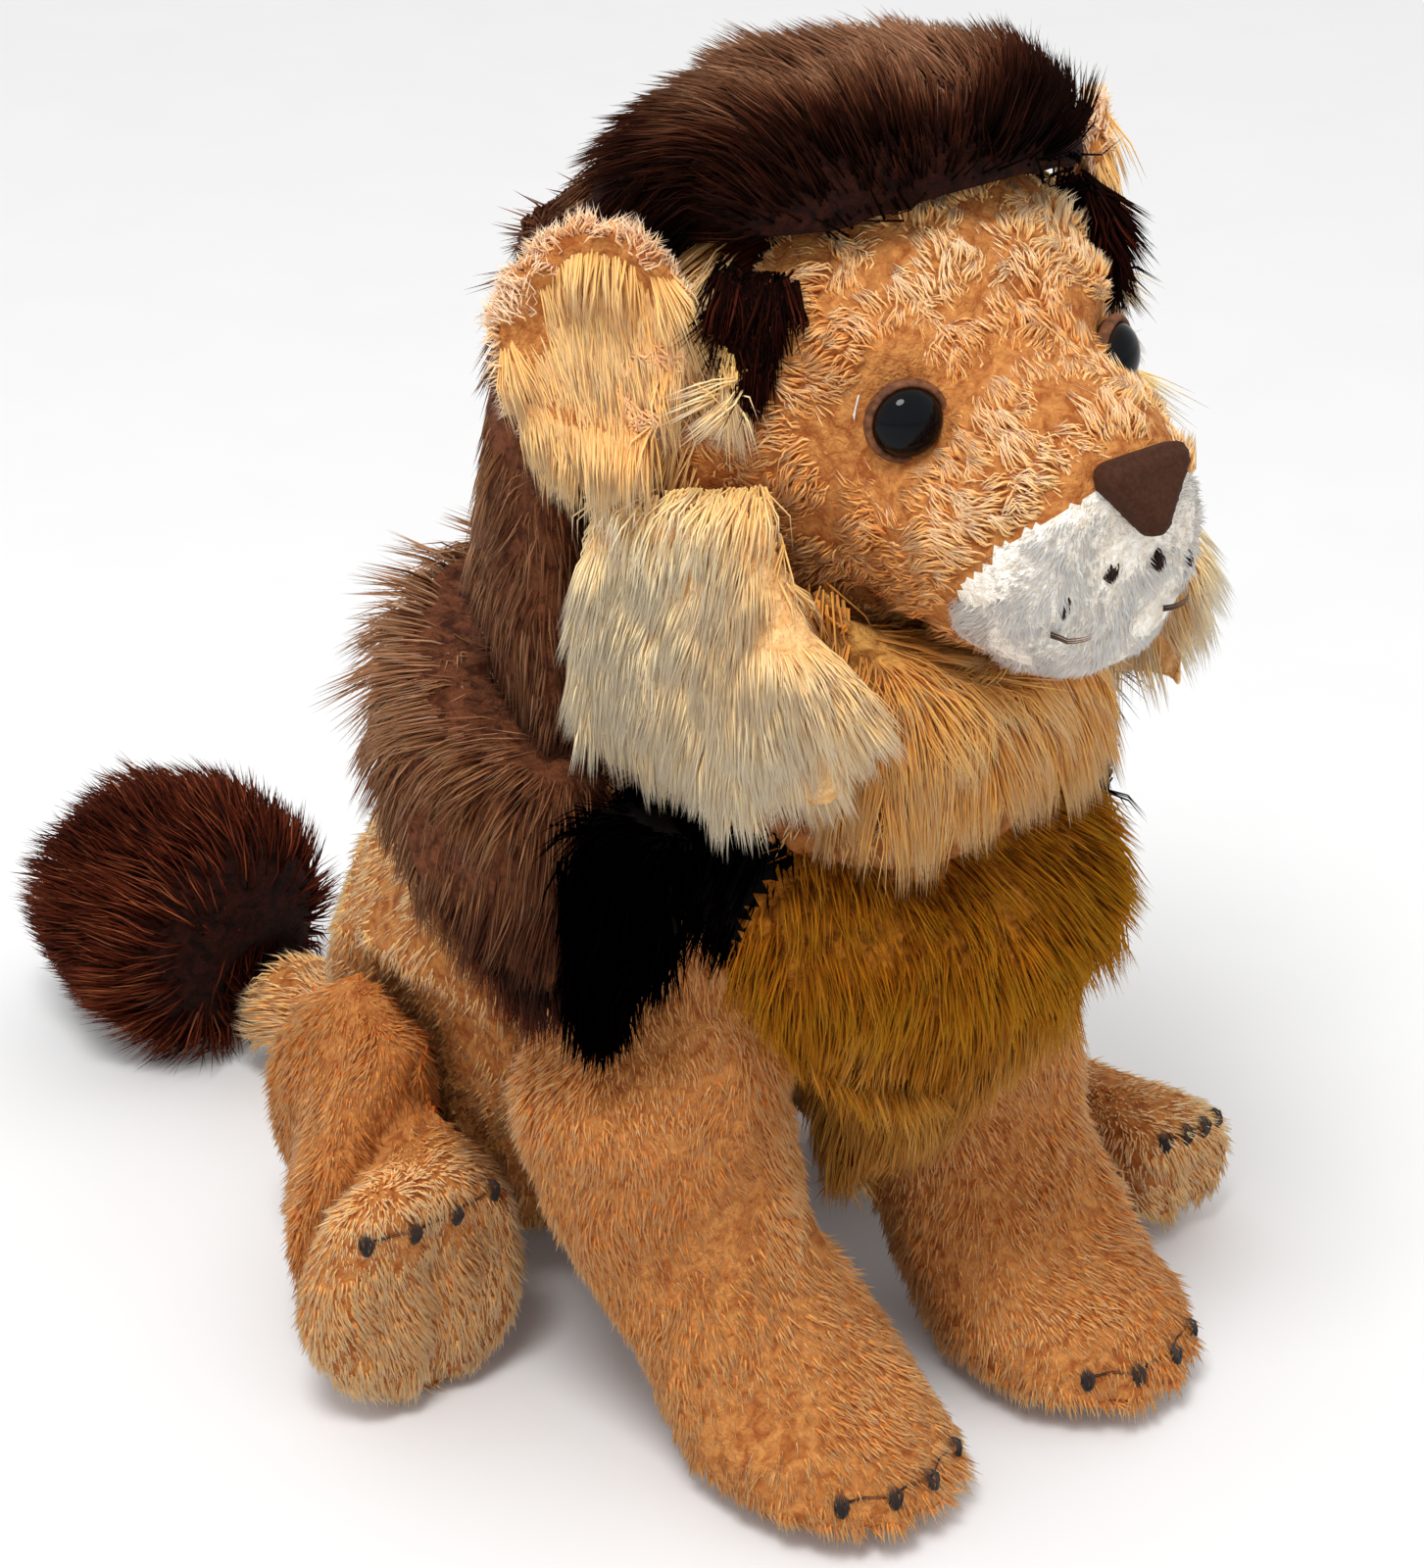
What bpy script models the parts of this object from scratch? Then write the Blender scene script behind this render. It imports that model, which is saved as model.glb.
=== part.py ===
"""A seated plush lion: sewn plush skins over fibre stuffing, long-pile mane pieces,
safety eyes and nose with lock washers, and embroidered claws.

The lion faces -Y and its right side is -X. The origin is the middle of the flat
under the rump, where the toy sits. Sizes are in metres.
"""
import math

import bmesh
import bpy
from mathutils import Matrix, Vector
from mathutils.bvhtree import BVHTree

# Fabric and fits
GAP = 0.0003
SKIN = 0.0026
FLAT_DEPTH = 0.0005
SWING_CLEARANCE = 0.0007
SOCKET_CLEARANCE = 0.0014
OVERRUN = 0.002
CRUMB = 0.000003
SHARP_ANGLE = math.radians(42)
RINGS_SAVED = 4

# Sides of the lion
RIGHT = -1
LEFT = 1
SIDES = ((RIGHT, "right"), (LEFT, "left"))

# Torso: a pear that leans forward from the seat to the neck
TORSO_HEIGHT = 0.136
TORSO_LEAN = 0.060
TORSO_HALF_WIDTH = 0.048
TORSO_HALF_DEPTH = 0.055
TORSO_SIDES = 20
TORSO_RINGS = 14
TORSO_SHARES = (
    (0.05, -0.0037, 0.00, 0.00),
    (0.05, 0.004, 0.50, 0.36),
    (0.09, 0.075, 0.84, 0.60),
    (0.14, 0.19, 0.98, 0.72),
    (0.24, 0.33, 1.00, 0.79),
    (0.40, 0.48, 0.97, 0.86),
    (0.70, 0.62, 0.91, 0.99),
    (0.86, 0.74, 0.84, 1.00),
    (0.97, 0.85, 0.78, 0.91),
    (1.01, 0.93, 0.66, 0.76),
    (1.02, 0.985, 0.40, 0.46),
    (1.02, 1.00, 0.00, 0.00),
)

# Pellet bag that weights the seat: it lies on the cloth, under the stuffing
BAG_HALF_WIDTH = 0.026
BAG_HALF_DEPTH = 0.018
BAG_HALF_HEIGHT = 0.010
BAG_Y = -0.010
BAG_SIDES = 12
BAG_RINGS = 7

# Neck: the seam that the head turns on, and the stuffed tube above it, which stops inside
# the head, below its middle line
NECK_HEIGHT = 0.116
NECK_Y = -0.062
NECK_TILT = math.radians(8)
NECK_RADIUS = 0.030
HEAD_RISE = 0.047
NECK_STOP = 0.017
NECK_RISE = HEAD_RISE - NECK_STOP
NECK_SIDES = 16
HEAD_TURN = math.radians(25)

# Head: skull, cheeks and muzzle along one line from the back to the nose
HEAD_LENGTH = 0.098
HEAD_OVERHANG = 0.026
HEAD_BACK_Y = NECK_Y + HEAD_OVERHANG
HEAD_HEIGHT = NECK_HEIGHT + HEAD_RISE
HEAD_HALF_WIDTH = 0.040
HEAD_HALF_HEIGHT = 0.037
HEAD_SIDES = 20
HEAD_RINGS = 18
HEAD_SHARES = (
    (0.00, 0.00, 0.00, 0.00),
    (0.06, 0.00, 0.62, 0.62),
    (0.22, 0.02, 0.93, 0.93),
    (0.40, 0.04, 1.00, 1.00),
    (0.52, 0.04, 0.96, 0.96),
    (0.615, -0.03, 0.73, 0.79),
    (0.69, -0.11, 0.575, 0.665),
    (0.80, -0.19, 0.57, 0.63),
    (0.93, -0.30, 0.47, 0.52),
    (0.985, -0.32, 0.33, 0.38),
    (1.00, -0.32, 0.00, 0.00),
)

# White muzzle panel: a patch of the head's front, set in flush
MUZZLE_HALF_WIDTH = 0.024
MUZZLE_HALF_DEPTH = 0.022
MUZZLE_HALF_HEIGHT = 0.020
MUZZLE_INSET = 0.003
MUZZLE_Y = HEAD_BACK_Y - HEAD_LENGTH + MUZZLE_INSET
MUZZLE_DROP = 0.017
MUZZLE_HEIGHT = HEAD_HEIGHT - MUZZLE_DROP
MUZZLE_SIDES = 14
MUZZLE_RINGS = 8

# Eyes: domes on shanks, held by lock washers inside the head
EYE_RADIUS = 0.0060
EYE_RIM = 0.0009
EYE_DOME = 0.0048
EYE_SINK = 0.0020
EYE_SPREAD_X = 0.0193
EYE_RISE = 0.0085
EYE_HEIGHT = HEAD_HEIGHT + EYE_RISE
EYE_AIM_ANGLE = math.radians(24)
EYE_AIM_DEPTH = 0.034
EYE_AIM_Y = HEAD_BACK_Y - EYE_AIM_DEPTH
EYE_SIDES = 14
DOME_STEPS = 5
SHANK_RADIUS = 0.0019
SHANK_LENGTH = 0.0100
SHANK_SIDES = 8
WASHER_RADIUS = 0.0062
WASHER_THICKNESS = 0.0013

# Nose: a rounded triangle on a shank
NOSE_HALF_WIDTH = 0.0079
NOSE_DROP = 0.0070
NOSE_RISE = 0.0045
NOSE_THICKNESS = 0.0042
NOSE_EDGE = 0.0012
NOSE_LIFT = 0.0025
NOSE_HEIGHT = HEAD_HEIGHT + NOSE_LIFT
NOSE_SINK = 0.0016
NOSE_CORNER = 0.0022
NOSE_TILT = math.radians(20)
NOSE_CORNER_STEPS = 3
NOSE_EDGE_STEPS = 2
NOSE_ROOM_SHARE = 3
NOSE_TURN_ANGLES = (90, 215, 325, 450)

# Mouth and whisker stitches on the muzzle
STITCH_LENGTH = 0.0032
STITCH_WIDTH = 0.0015
STITCH_HEIGHT = 0.0009
MOUTH_STITCH_LENGTH = 0.0080
STITCH_SIDES = 6
STITCH_RINGS = 4
MOUTH_DROP_ANGLE = math.radians(1)
WHISKER_BASE_SHARE = 0.3
WHISKER_SHARES = ((0.27, 0.94), (0.115, 0.72), (0.30, 0.58))

# Forelegs: legs round at the shoulder that flare into long paws
SHOULDER_Y = -0.066
SHOULDER_HEIGHT = 0.078
SHOULDER_X = 0.030
SHOULDER_RADIUS = 0.026
KEEL_HALF_WIDTH = 0.008
KEEL_RADIUS = 0.052
FORELEG_HALF_WIDTH = 0.0235
FORELEG_HALF_DEPTH = 0.026
FORELEG_REACH = 0.032
FORELEG_STEP_IN = 0.003
RIGHT_PAW_STEP_IN = 0.0045
FORELEG_SWING = math.radians(15)
FORELEG_SIDES = 16
FORELEG_RINGS = 17
SHOULDER_TOP_X = 0.0255
SHOULDER_WIDTH_SHARE = 0.72
FORELEG_SHARES = (
    (1.50, 0.01, 0.93, 0.72, 0.94),
    (0.05, 0.02, 0.80, 0.92, 0.97),
    (0.12, 0.06, 0.62, 1.00, 0.92),
    (0.40, 0.18, 0.45, 0.98, 0.87),
    (0.75, 0.46, 0.31, 0.95, 0.90),
    (0.95, 0.82, 0.18, 0.97, 1.02),
    (1.00, 1.00, 0.075, 0.97, 1.08),
    (1.00, 1.00, 0.006, 0.72, 0.82),
    (1.00, 1.00, -0.0064, 0.00, 0.00),
)

# Hind legs: round haunches beside the rump, soles turned forward
HIP_Y = -0.014
HIP_HEIGHT = 0.0295
HIP_X = 0.037
HIP_RADIUS = 0.030
HIP_SEAM = 0.036
HIND_HALF_WIDTH = 0.019
FOOT_HALF_WIDTH_RIGHT = 0.0215
FOOT_HALF_WIDTH_LEFT = 0.0155
FOOT_HALF_HEIGHT_RIGHT = 0.0205
FOOT_HALF_HEIGHT_LEFT = 0.0135
FOOT_REACH_RIGHT = 0.034
FOOT_REACH_LEFT = 0.076
FOOT_SPREAD_RIGHT = 0.018
FOOT_SPREAD_LEFT = 0.0318
HIND_SWING_UP = math.radians(10)
HIND_SWING_DOWN = math.radians(5)
HIND_SIDES = 16
HIND_RINGS = 15
FOOT_BLEND_RATE = 2.2
HIND_SHARES = (
    (0.30, 0.50, 0.95, 0.92),
    (0.55, 0.84, 0.95, 0.94),
    (0.80, 0.96, 1.00, 1.00),
    (0.94, 0.99, 0.94, 0.96),
    (0.99, 1.00, 0.66, 0.68),
)

# Tail: a short stem and a bushy tuft that lies on the floor
TAIL_ROOT_X = -0.004
TAIL_ROOT_Y = 0.0312
TAIL_HEIGHT = 0.014
TAIL_LENGTH = 0.024
TAIL_HIDDEN = 0.008
TAIL_OPENING = 0.005
TAIL_RADIUS = 0.0115
TAIL_DRIFT = 0.012
TAIL_SWING = math.radians(20)
TAIL_SIDES = 12
TAIL_RINGS = 10
SOCKET_SIDES = 20
SOCKET_RINGS = 14
TAIL_SHARES = ((0, 1), (0.4, 1), (0.8, 0.92), (0.97, 0.6), (1, 0))
TUFT_LENGTH = 0.052
TUFT_RADIUS = 0.0245
TUFT_DRIFT = 0.010
TUFT_RINGS = 10
TUFT_SHARES = (
    (0.00, 0.00),
    (0.05, 0.60),
    (0.25, 0.94),
    (0.52, 1.00),
    (0.78, 0.84),
    (0.95, 0.44),
    (1.00, 0.00),
)

# Ears: cupped discs with a pale lining
EAR_HALF_WIDTH = 0.0150
EAR_HALF_HEIGHT = 0.0175
EAR_HALF_THICKNESS = 0.0052
EAR_FORWARD = 0.052
EAR_BASE_Y = HEAD_BACK_Y - EAR_FORWARD
EAR_LIFT = 0.017
EAR_HEIGHT = HEAD_HEIGHT + EAR_LIFT
EAR_TURN = math.radians(45)
EAR_STAND_OFF = 0.0015
EAR_FOLD = math.radians(15)
EAR_SIDES = 14
EAR_RINGS = 8
EAR_TRIM_STEPS = 4
EAR_ROOM_SHARE = 2.5
EAR_ROOM_BASE_SHARE = 0.33
EAR_ROOM_SPREAD = math.radians(18)
CUP_SHARE = 0.74
CUP_FORWARD_SHARE = 0.55

# Long-pile pieces on the head, cut from one ring of fur
RUFF_HANG = 0.012
RUFF_LOW = NECK_HEIGHT - RUFF_HANG
RUFF_HEIGHT = 0.110
RUFF_HALF_WIDTH = 0.050
RUFF_HALF_DEPTH = 0.046
RUFF_FORWARD = 0.030
RUFF_Y = HEAD_BACK_Y - RUFF_FORWARD
RUFF_SIDES = 24
RUFF_RINGS = 14
RUFF_SHARES = (
    (0.00, 0.00, 0.00, 0.00),
    (0.00, 0.02, 0.80, 0.85),
    (-0.02, 0.12, 0.97, 1.02),
    (0.00, 0.28, 1.02, 1.02),
    (0.03, 0.46, 1.00, 0.95),
    (0.00, 0.64, 0.93, 0.88),
    (-0.14, 0.80, 0.82, 0.76),
    (-0.24, 0.92, 0.68, 0.58),
    (-0.30, 0.985, 0.42, 0.34),
    (-0.30, 1.00, 0.00, 0.00),
)
FACE_FORWARD = 0.061
FACE_FRONT_Y = HEAD_BACK_Y - FACE_FORWARD
FACE_DROP = 0.024
FACE_LOW = HEAD_HEIGHT - FACE_DROP
CREST_RISE = 0.023
CREST_LOW = HEAD_HEIGHT + CREST_RISE
CREST_TILT = math.radians(10)
NAPE_FORWARD = 0.004
NAPE_Y = RUFF_Y - NAPE_FORWARD
THROAT_HALF_WIDTH = 0.022

# Long-pile pieces on the body, cut from a second ring
CAPE_LOW = 0.066
CAPE_HEIGHT = 0.070
CAPE_HALF_WIDTH = 0.060
CAPE_HALF_DEPTH = 0.055
CAPE_Y = -0.050
CAPE_SIDES = 24
CAPE_RINGS = 11
CAPE_SHARES = (
    (0.00, 0.00, 0.00, 0.00),
    (0.00, 0.04, 0.82, 0.80),
    (0.00, 0.20, 0.98, 0.97),
    (0.00, 0.45, 1.00, 1.02),
    (-0.06, 0.70, 0.92, 0.96),
    (-0.14, 0.90, 0.80, 0.84),
    (-0.18, 1.00, 0.00, 0.00),
)
CAPE_SPLIT_Y = -0.072
CAPE_EDGE_HEIGHT = 0.077
CAPE_EDGE_TILT = math.radians(32)

# Chest bib: hangs from the neck seam to a tip between the forelegs
BIB_LOW = 0.034
BIB_HEIGHT = 0.090
BIB_HALF_WIDTH = 0.040
BIB_HALF_DEPTH = 0.026
BIB_Y = -0.093
BIB_SIDES = 16
BIB_RINGS = 12
BIB_SHARES = (
    (0.56, 0.00, 0.00, 0.00),
    (0.50, 0.04, 0.20, 0.24),
    (0.25, 0.20, 0.46, 0.56),
    (0.07, 0.42, 0.78, 0.86),
    (0.02, 0.66, 0.98, 0.98),
    (0.10, 0.90, 0.88, 0.74),
    (0.14, 1.00, 0.00, 0.00),
)

# Claws: four satin-stitched bars on each paw, with the thread that runs between them.
# Each share pair is the way along the row in half widths, and the height in half lengths
CLAW_COUNT = 4
CLAW_HALF_LENGTH = 0.0024
CLAW_HALF_WIDTH = 0.00105
CLAW_THICKNESS = 0.0010
CLAW_STAND_OFF = 0.0005
CLAW_TOP_SHARE = 0.6
CLAW_SHARES = ((-1.7, 0.14), (-0.9, 0.78), (0.0, 1.0), (0.9, 0.78), (1.7, 0.14))
CLAW_THREAD_SHARE = 0.14
CLAW_FAN = math.radians(24)
PAW_CLAW_HEIGHT = 0.0115
FOOT_CLAW_LIFT = math.radians(32)

# Swept shapes
SWEEP_STEPS = 16
CUTS_REACH = TORSO_HEIGHT * 3
SHOULDER_FRONT_SPLAY = math.radians(43)
SHOULDER_REAR_SPLAY = math.radians(6)
HIP_REAR_ANGLE = math.radians(60)
HIP_TOP_ANGLE = math.radians(94)
HIP_TOP_FALL = math.radians(3)
ROUND_ANGLES = (72, 50, 25)
ROUND_POWER = 0.7

X_AXIS = Vector((1, 0, 0))
Y_AXIS = Vector((0, 1, 0))
Z_AXIS = Vector((0, 0, 1))

# Finishes of the fabrics and plastics: colour as on a screen, and roughness
TAN_PLUSH = ("#CF9560", 0.95)
SAND_PLUSH = ("#DDB07C", 0.95)
CREAM_FUR = ("#EBD2A0", 0.95)
DARK_BROWN_FUR = ("#53352A", 0.95)
UMBER_FUR = ("#7A5A48", 0.95)
NEAR_BLACK_FUR = ("#26120C", 0.95)
GOLDEN_FUR = ("#B98A4A", 0.95)
OCHRE_FUR = ("#A5742F", 0.95)
WHITE_PLUSH = ("#E9E2D8", 0.95)
NOSE_PLASTIC = ("#5C3F38", 0.55)
EYE_PLASTIC = ("#0E1014", 0.06)
WASHER_PLASTIC = ("#E4E4DE", 0.5)
THREAD = ("#3A241C", 0.6)
FIBRE = ("#F2F0EA", 0.9)
BAG_CLOTH = ("#D8D2C4", 0.9)


def clear_scene():
    """Empty the file that the script runs in."""
    for item in list(bpy.data.objects):
        bpy.data.objects.remove(item, do_unlink=True)


def linear(hex_colour):
    """A screen colour as the linear values that a material takes."""
    values = []
    for start in (1, 3, 5):
        value = int(hex_colour[start:start + 2], 16) / 255
        values.append(value / 12.92 if value <= 0.04045 else ((value + 0.055) / 1.055) ** 2.4)
    return (*values, 1)


def dress(item, finish):
    """Give an object its own plain material from a finish; no piece is metal."""
    hex_colour, roughness = finish
    material = bpy.data.materials.new(item.name)
    material.use_nodes = True
    shader = material.node_tree.nodes["Principled BSDF"]
    shader.inputs["Base Color"].default_value = linear(hex_colour)
    shader.inputs["Roughness"].default_value = roughness
    shader.inputs["Metallic"].default_value = 0
    item.data.materials.clear()
    item.data.materials.append(material)
    return item


def curve_through(rows, count):
    """Rows read evenly from a smooth curve (Catmull-Rom) through all the given rows."""
    padded = [rows[0]] + list(rows) + [rows[-1]]
    result = []
    for step in range(count):
        place = step * (len(rows) - 1) / (count - 1)
        index = min(int(place), len(rows) - 2)
        t = place - index
        before, start, end, after = padded[index:index + 4]
        result.append([
            0.5 * (2 * q + (r - p) * t + (2 * p - 5 * q + 4 * r - s) * t * t
                   + (3 * q - p - 3 * r + s) * t * t * t)
            for p, q, r, s in zip(before, start, end, after)])
    return result


def face_outwards(bm):
    """Turn a closed mesh's faces outwards. A box can come out of the first step inside out,
    so its signed volume is looked at too."""
    bmesh.ops.recalc_face_normals(bm, faces=bm.faces)
    if bm.calc_volume(signed=True) < 0:
        bmesh.ops.reverse_faces(bm, faces=bm.faces)
    bm.normal_update()


def link_mesh(name, bm):
    """Turn a bmesh into a linked, smooth shaded object with its faces outwards."""
    face_outwards(bm)
    mesh = bpy.data.meshes.new(name)
    bm.to_mesh(mesh)
    bm.free()
    mesh.shade_smooth()
    mesh.set_sharp_from_angle(angle=SHARP_ANGLE)
    item = bpy.data.objects.new(name, mesh)
    bpy.context.collection.objects.link(item)
    return item


def soft_form(name, stations, sides, rings, grow=0, level=False):
    """A closed stuffed form. Each station is (x, y, z, half width, half depth); the rings
    are ellipses across the line through the stations, or level ones, and both ends close
    in a point. Growing moves every point outwards along its normal."""
    rows = curve_through(stations, rings)
    bm = bmesh.new()
    loops = []
    for index, row in enumerate(rows):
        centre = Vector(row[:3])
        if index in (0, len(rows) - 1):
            loops.append([bm.verts.new(centre)])
            continue
        tangent = Vector(rows[index + 1][:3]) - Vector(rows[index - 1][:3])
        if level:
            tangent = Vector((0, 0, tangent.z))
        tangent.normalize()
        across = (X_AXIS - tangent * X_AXIS.dot(tangent)).normalized()
        along = tangent.cross(across)
        loop = []
        for corner in range(sides):
            angle = 2 * math.pi * corner / sides
            loop.append(bm.verts.new(
                centre + across * row[3] * math.cos(angle) + along * row[4] * math.sin(angle)))
        loops.append(loop)
    bridge(bm, loops, sides)
    bmesh.ops.triangulate(bm, faces=bm.faces, quad_method="FIXED")
    face_outwards(bm)
    moves = [vert.normal * grow for vert in bm.verts]
    for vert, move in zip(bm.verts, moves):
        vert.co += move
    return link_mesh(name, bm)


def bridge(bm, loops, sides):
    """Join each loop of points to the next; a loop of one point is a closed end."""
    for low, high in zip(loops, loops[1:]):
        for corner in range(sides):
            after = (corner + 1) % sides
            points = [low[corner % len(low)], low[after % len(low)],
                      high[after % len(high)], high[corner % len(high)]]
            bm.faces.new(list(dict.fromkeys(points)))


def box_form(name, low, high, matrix):
    """A box between two corners, turned and placed by a matrix."""
    bm = bmesh.new()
    bmesh.ops.create_cube(bm, size=1)
    low = Vector(low)
    high = Vector(high)
    centre = (low + high) / 2
    bm.transform(matrix @ Matrix.Translation(centre) @ Matrix.Diagonal((*(high - low), 1)))
    return link_mesh(name, bm)


def prism_form(name, outline, start_x, end_x):
    """A solid between two planes across X, from an outline of (y, z) points."""
    bm = bmesh.new()
    face = bm.faces.new([bm.verts.new((start_x, y, z)) for y, z in outline])
    result = bmesh.ops.extrude_face_region(bm, geom=[face])
    moved = [item for item in result["geom"] if isinstance(item, bmesh.types.BMVert)]
    bmesh.ops.translate(bm, verts=moved, vec=(end_x - start_x, 0, 0))
    return link_mesh(name, bm)


def turned_form(name, profile, sides, matrix):
    """A solid turned about Z from (radius, height) points, then placed by a matrix."""
    bm = bmesh.new()
    loops = []
    for radius, height in profile:
        if radius == 0:
            loops.append([bm.verts.new((0, 0, height))])
            continue
        angles = [2 * math.pi * corner / sides for corner in range(sides)]
        loops.append([bm.verts.new((radius * math.cos(a), radius * math.sin(a), height))
                      for a in angles])
    bridge(bm, loops, sides)
    bm.transform(matrix)
    return link_mesh(name, bm)


def ring_form(name, inner, outer, low, high, sides, matrix):
    """A flat washer between two heights."""
    bm = bmesh.new()
    loops = []
    for radius, height in ((inner, low), (outer, low), (outer, high), (inner, high)):
        angles = [2 * math.pi * corner / sides for corner in range(sides)]
        loops.append([bm.verts.new((radius * math.cos(a), radius * math.sin(a), height))
                      for a in angles])
    bridge(bm, loops + loops[:1], sides)
    bm.transform(matrix)
    return link_mesh(name, bm)


def ellipsoid_form(name, half_sizes, sides, rings, matrix):
    """An ellipsoid with its poles on its own Z, placed by a matrix."""
    bm = bmesh.new()
    bmesh.ops.create_uvsphere(bm, u_segments=sides, v_segments=rings, radius=1)
    bm.transform(matrix @ Matrix.Diagonal((*half_sizes, 1)))
    return link_mesh(name, bm)


def guide(item):
    """Mark an object as a cutter, which isn't a piece of the toy."""
    item.hide_render = True
    item.display_type = "WIRE"
    return item


def combine(item, other, operation):
    """Add an exact Boolean between two objects."""
    modifier = item.modifiers.new(operation.lower(), "BOOLEAN")
    modifier.operation = operation
    modifier.solver = "EXACT"
    modifier.object = other


def cut(item, *cutters):
    """Cut each cutter out of an object."""
    for cutter in cutters:
        combine(item, cutter, "DIFFERENCE")
    return item


def keep_within(item, other):
    """Keep only what lies inside the other object."""
    combine(item, other, "INTERSECT")
    return item


def connected_groups(bm):
    """The mesh's separate bodies as sets of points, smallest first."""
    groups = []
    left_over = set(bm.verts)
    while left_over:
        group = set()
        front = [left_over.pop()]
        while front:
            vert = front.pop()
            group.add(vert)
            for edge in vert.link_edges:
                other = edge.other_vert(vert)
                if other in left_over:
                    left_over.remove(other)
                    front.append(other)
        groups.append(group)
    return sorted(groups, key=len)


def settle(item):
    """Apply the cuts and keep the largest body, without the crumbs that cutting leaves."""
    bpy.context.view_layer.update()
    evaluated = item.evaluated_get(bpy.context.evaluated_depsgraph_get())
    mesh = bpy.data.meshes.new_from_object(evaluated)
    item.modifiers.clear()
    bm = bmesh.new()
    bm.from_mesh(mesh)
    bmesh.ops.remove_doubles(bm, verts=bm.verts, dist=CRUMB)
    bmesh.ops.dissolve_degenerate(bm, edges=bm.edges, dist=CRUMB)
    for group in connected_groups(bm)[:-1]:
        bmesh.ops.delete(bm, geom=list(group), context="VERTS")
    bm.to_mesh(mesh)
    bm.free()
    mesh.shade_smooth()
    mesh.set_sharp_from_angle(angle=SHARP_ANGLE)
    item.data = mesh
    return item


def surface_hit(item, origin, direction):
    """The point and normal where a line from inside an object meets its surface."""
    bpy.context.view_layer.update()
    tree = BVHTree.FromObject(item, bpy.context.evaluated_depsgraph_get())
    point, normal, _, _ = tree.ray_cast(Vector(origin), Vector(direction))
    return point, normal


def frame_at(point, normal, up):
    """A matrix at a point whose Z is the normal and whose Y leans towards up."""
    normal = Vector(normal).normalized()
    side = Vector(up).cross(normal).normalized()
    return Matrix.Translation(point) @ Matrix((side, normal.cross(side), normal)).transposed().to_4x4()


# Stations of the main forms

def torso_stations():
    """Level rings from the seat up to the neck, each further forward than the last."""
    return [(0, -TORSO_LEAN * y, TORSO_HEIGHT * z, TORSO_HALF_WIDTH * a, TORSO_HALF_DEPTH * b)
            for y, z, a, b in TORSO_SHARES]


def head_stations():
    """Upright rings from the back of the skull to the front of the muzzle."""
    return [(0, HEAD_BACK_Y - HEAD_LENGTH * y, HEAD_HEIGHT + HEAD_HALF_HEIGHT * z,
             HEAD_HALF_WIDTH * a, HEAD_HALF_HEIGHT * b) for y, z, a, b in HEAD_SHARES]


def rounded_end(radius, half_width):
    """A round end about a swing axis: (distance along, half width, half depth) rows."""
    rows = [(radius, 0, 0)]
    for angle in ROUND_ANGLES:
        turn = math.radians(angle)
        rows.append((radius * math.sin(turn), half_width * math.cos(turn) ** ROUND_POWER,
                     radius * math.cos(turn)))
    return rows


def paw_step_in(side):
    """How far a paw stands inwards of its shoulder. The right paw is set further in."""
    return FORELEG_STEP_IN + (RIGHT_PAW_STEP_IN if side == RIGHT else 0)


def foreleg_stations(side):
    """A round shoulder about the swing axis, then the leg and the paw."""
    rows = []
    top_half_width = FORELEG_HALF_WIDTH * SHOULDER_WIDTH_SHARE
    for rise, half_width, half_depth in rounded_end(SHOULDER_RADIUS, top_half_width):
        rows.append((side * SHOULDER_TOP_X, SHOULDER_Y, SHOULDER_HEIGHT + rise, half_width, half_depth))
    for x, y, z, a, b in FORELEG_SHARES:
        rows.append((side * (SHOULDER_X - paw_step_in(side) * x), SHOULDER_Y - FORELEG_REACH * y,
                     SHOULDER_HEIGHT * z, FORELEG_HALF_WIDTH * a, FORELEG_HALF_DEPTH * b))
    return rows


def foot_sizes(side):
    """A hind foot's reach and spread from the hip, half width and half height. The left
    foot lies flatter and further forward than the right one."""
    if side == RIGHT:
        return FOOT_REACH_RIGHT, FOOT_SPREAD_RIGHT, FOOT_HALF_WIDTH_RIGHT, FOOT_HALF_HEIGHT_RIGHT
    return FOOT_REACH_LEFT, FOOT_SPREAD_LEFT, FOOT_HALF_WIDTH_LEFT, FOOT_HALF_HEIGHT_LEFT


def hindleg_stations(side):
    """A round haunch about the swing axis, then the foot with its sole turned forward."""
    rows = []
    reach, spread, width, height = foot_sizes(side)
    for back, half_width, half_depth in rounded_end(HIP_RADIUS, HIND_HALF_WIDTH):
        rows.append((side * HIP_X, HIP_Y + back, HIP_HEIGHT, half_width, half_depth))
    rows.append((side * HIP_X, HIP_Y, HIP_HEIGHT, HIND_HALF_WIDTH, HIP_RADIUS))
    middle = height - FLAT_DEPTH
    for forward, outward, a, b in HIND_SHARES:
        blend = min(forward * FOOT_BLEND_RATE, 1)
        rows.append((side * (HIP_X + spread * outward), HIP_Y - reach * forward,
                     HIP_HEIGHT + (middle - HIP_HEIGHT) * blend, width * a,
                     (HIP_RADIUS + (height - HIP_RADIUS) * blend) * b))
    rows.append((side * (HIP_X + spread), HIP_Y - reach, middle, 0, 0))
    return rows


def tail_stations():
    """A round root about the swing axis, then the stem, which drifts to the lion's right."""
    rows = [(TAIL_ROOT_X, TAIL_ROOT_Y - back, TAIL_HEIGHT, half_width, half_depth)
            for back, half_width, half_depth in rounded_end(TAIL_RADIUS, TAIL_RADIUS)]
    for share, size in TAIL_SHARES:
        rows.append((TAIL_ROOT_X - TAIL_DRIFT * share,
                     TAIL_ROOT_Y + (TAIL_LENGTH + TAIL_HIDDEN) * share,
                     TAIL_HEIGHT, TAIL_RADIUS * size, TAIL_RADIUS * size))
    return rows


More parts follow.
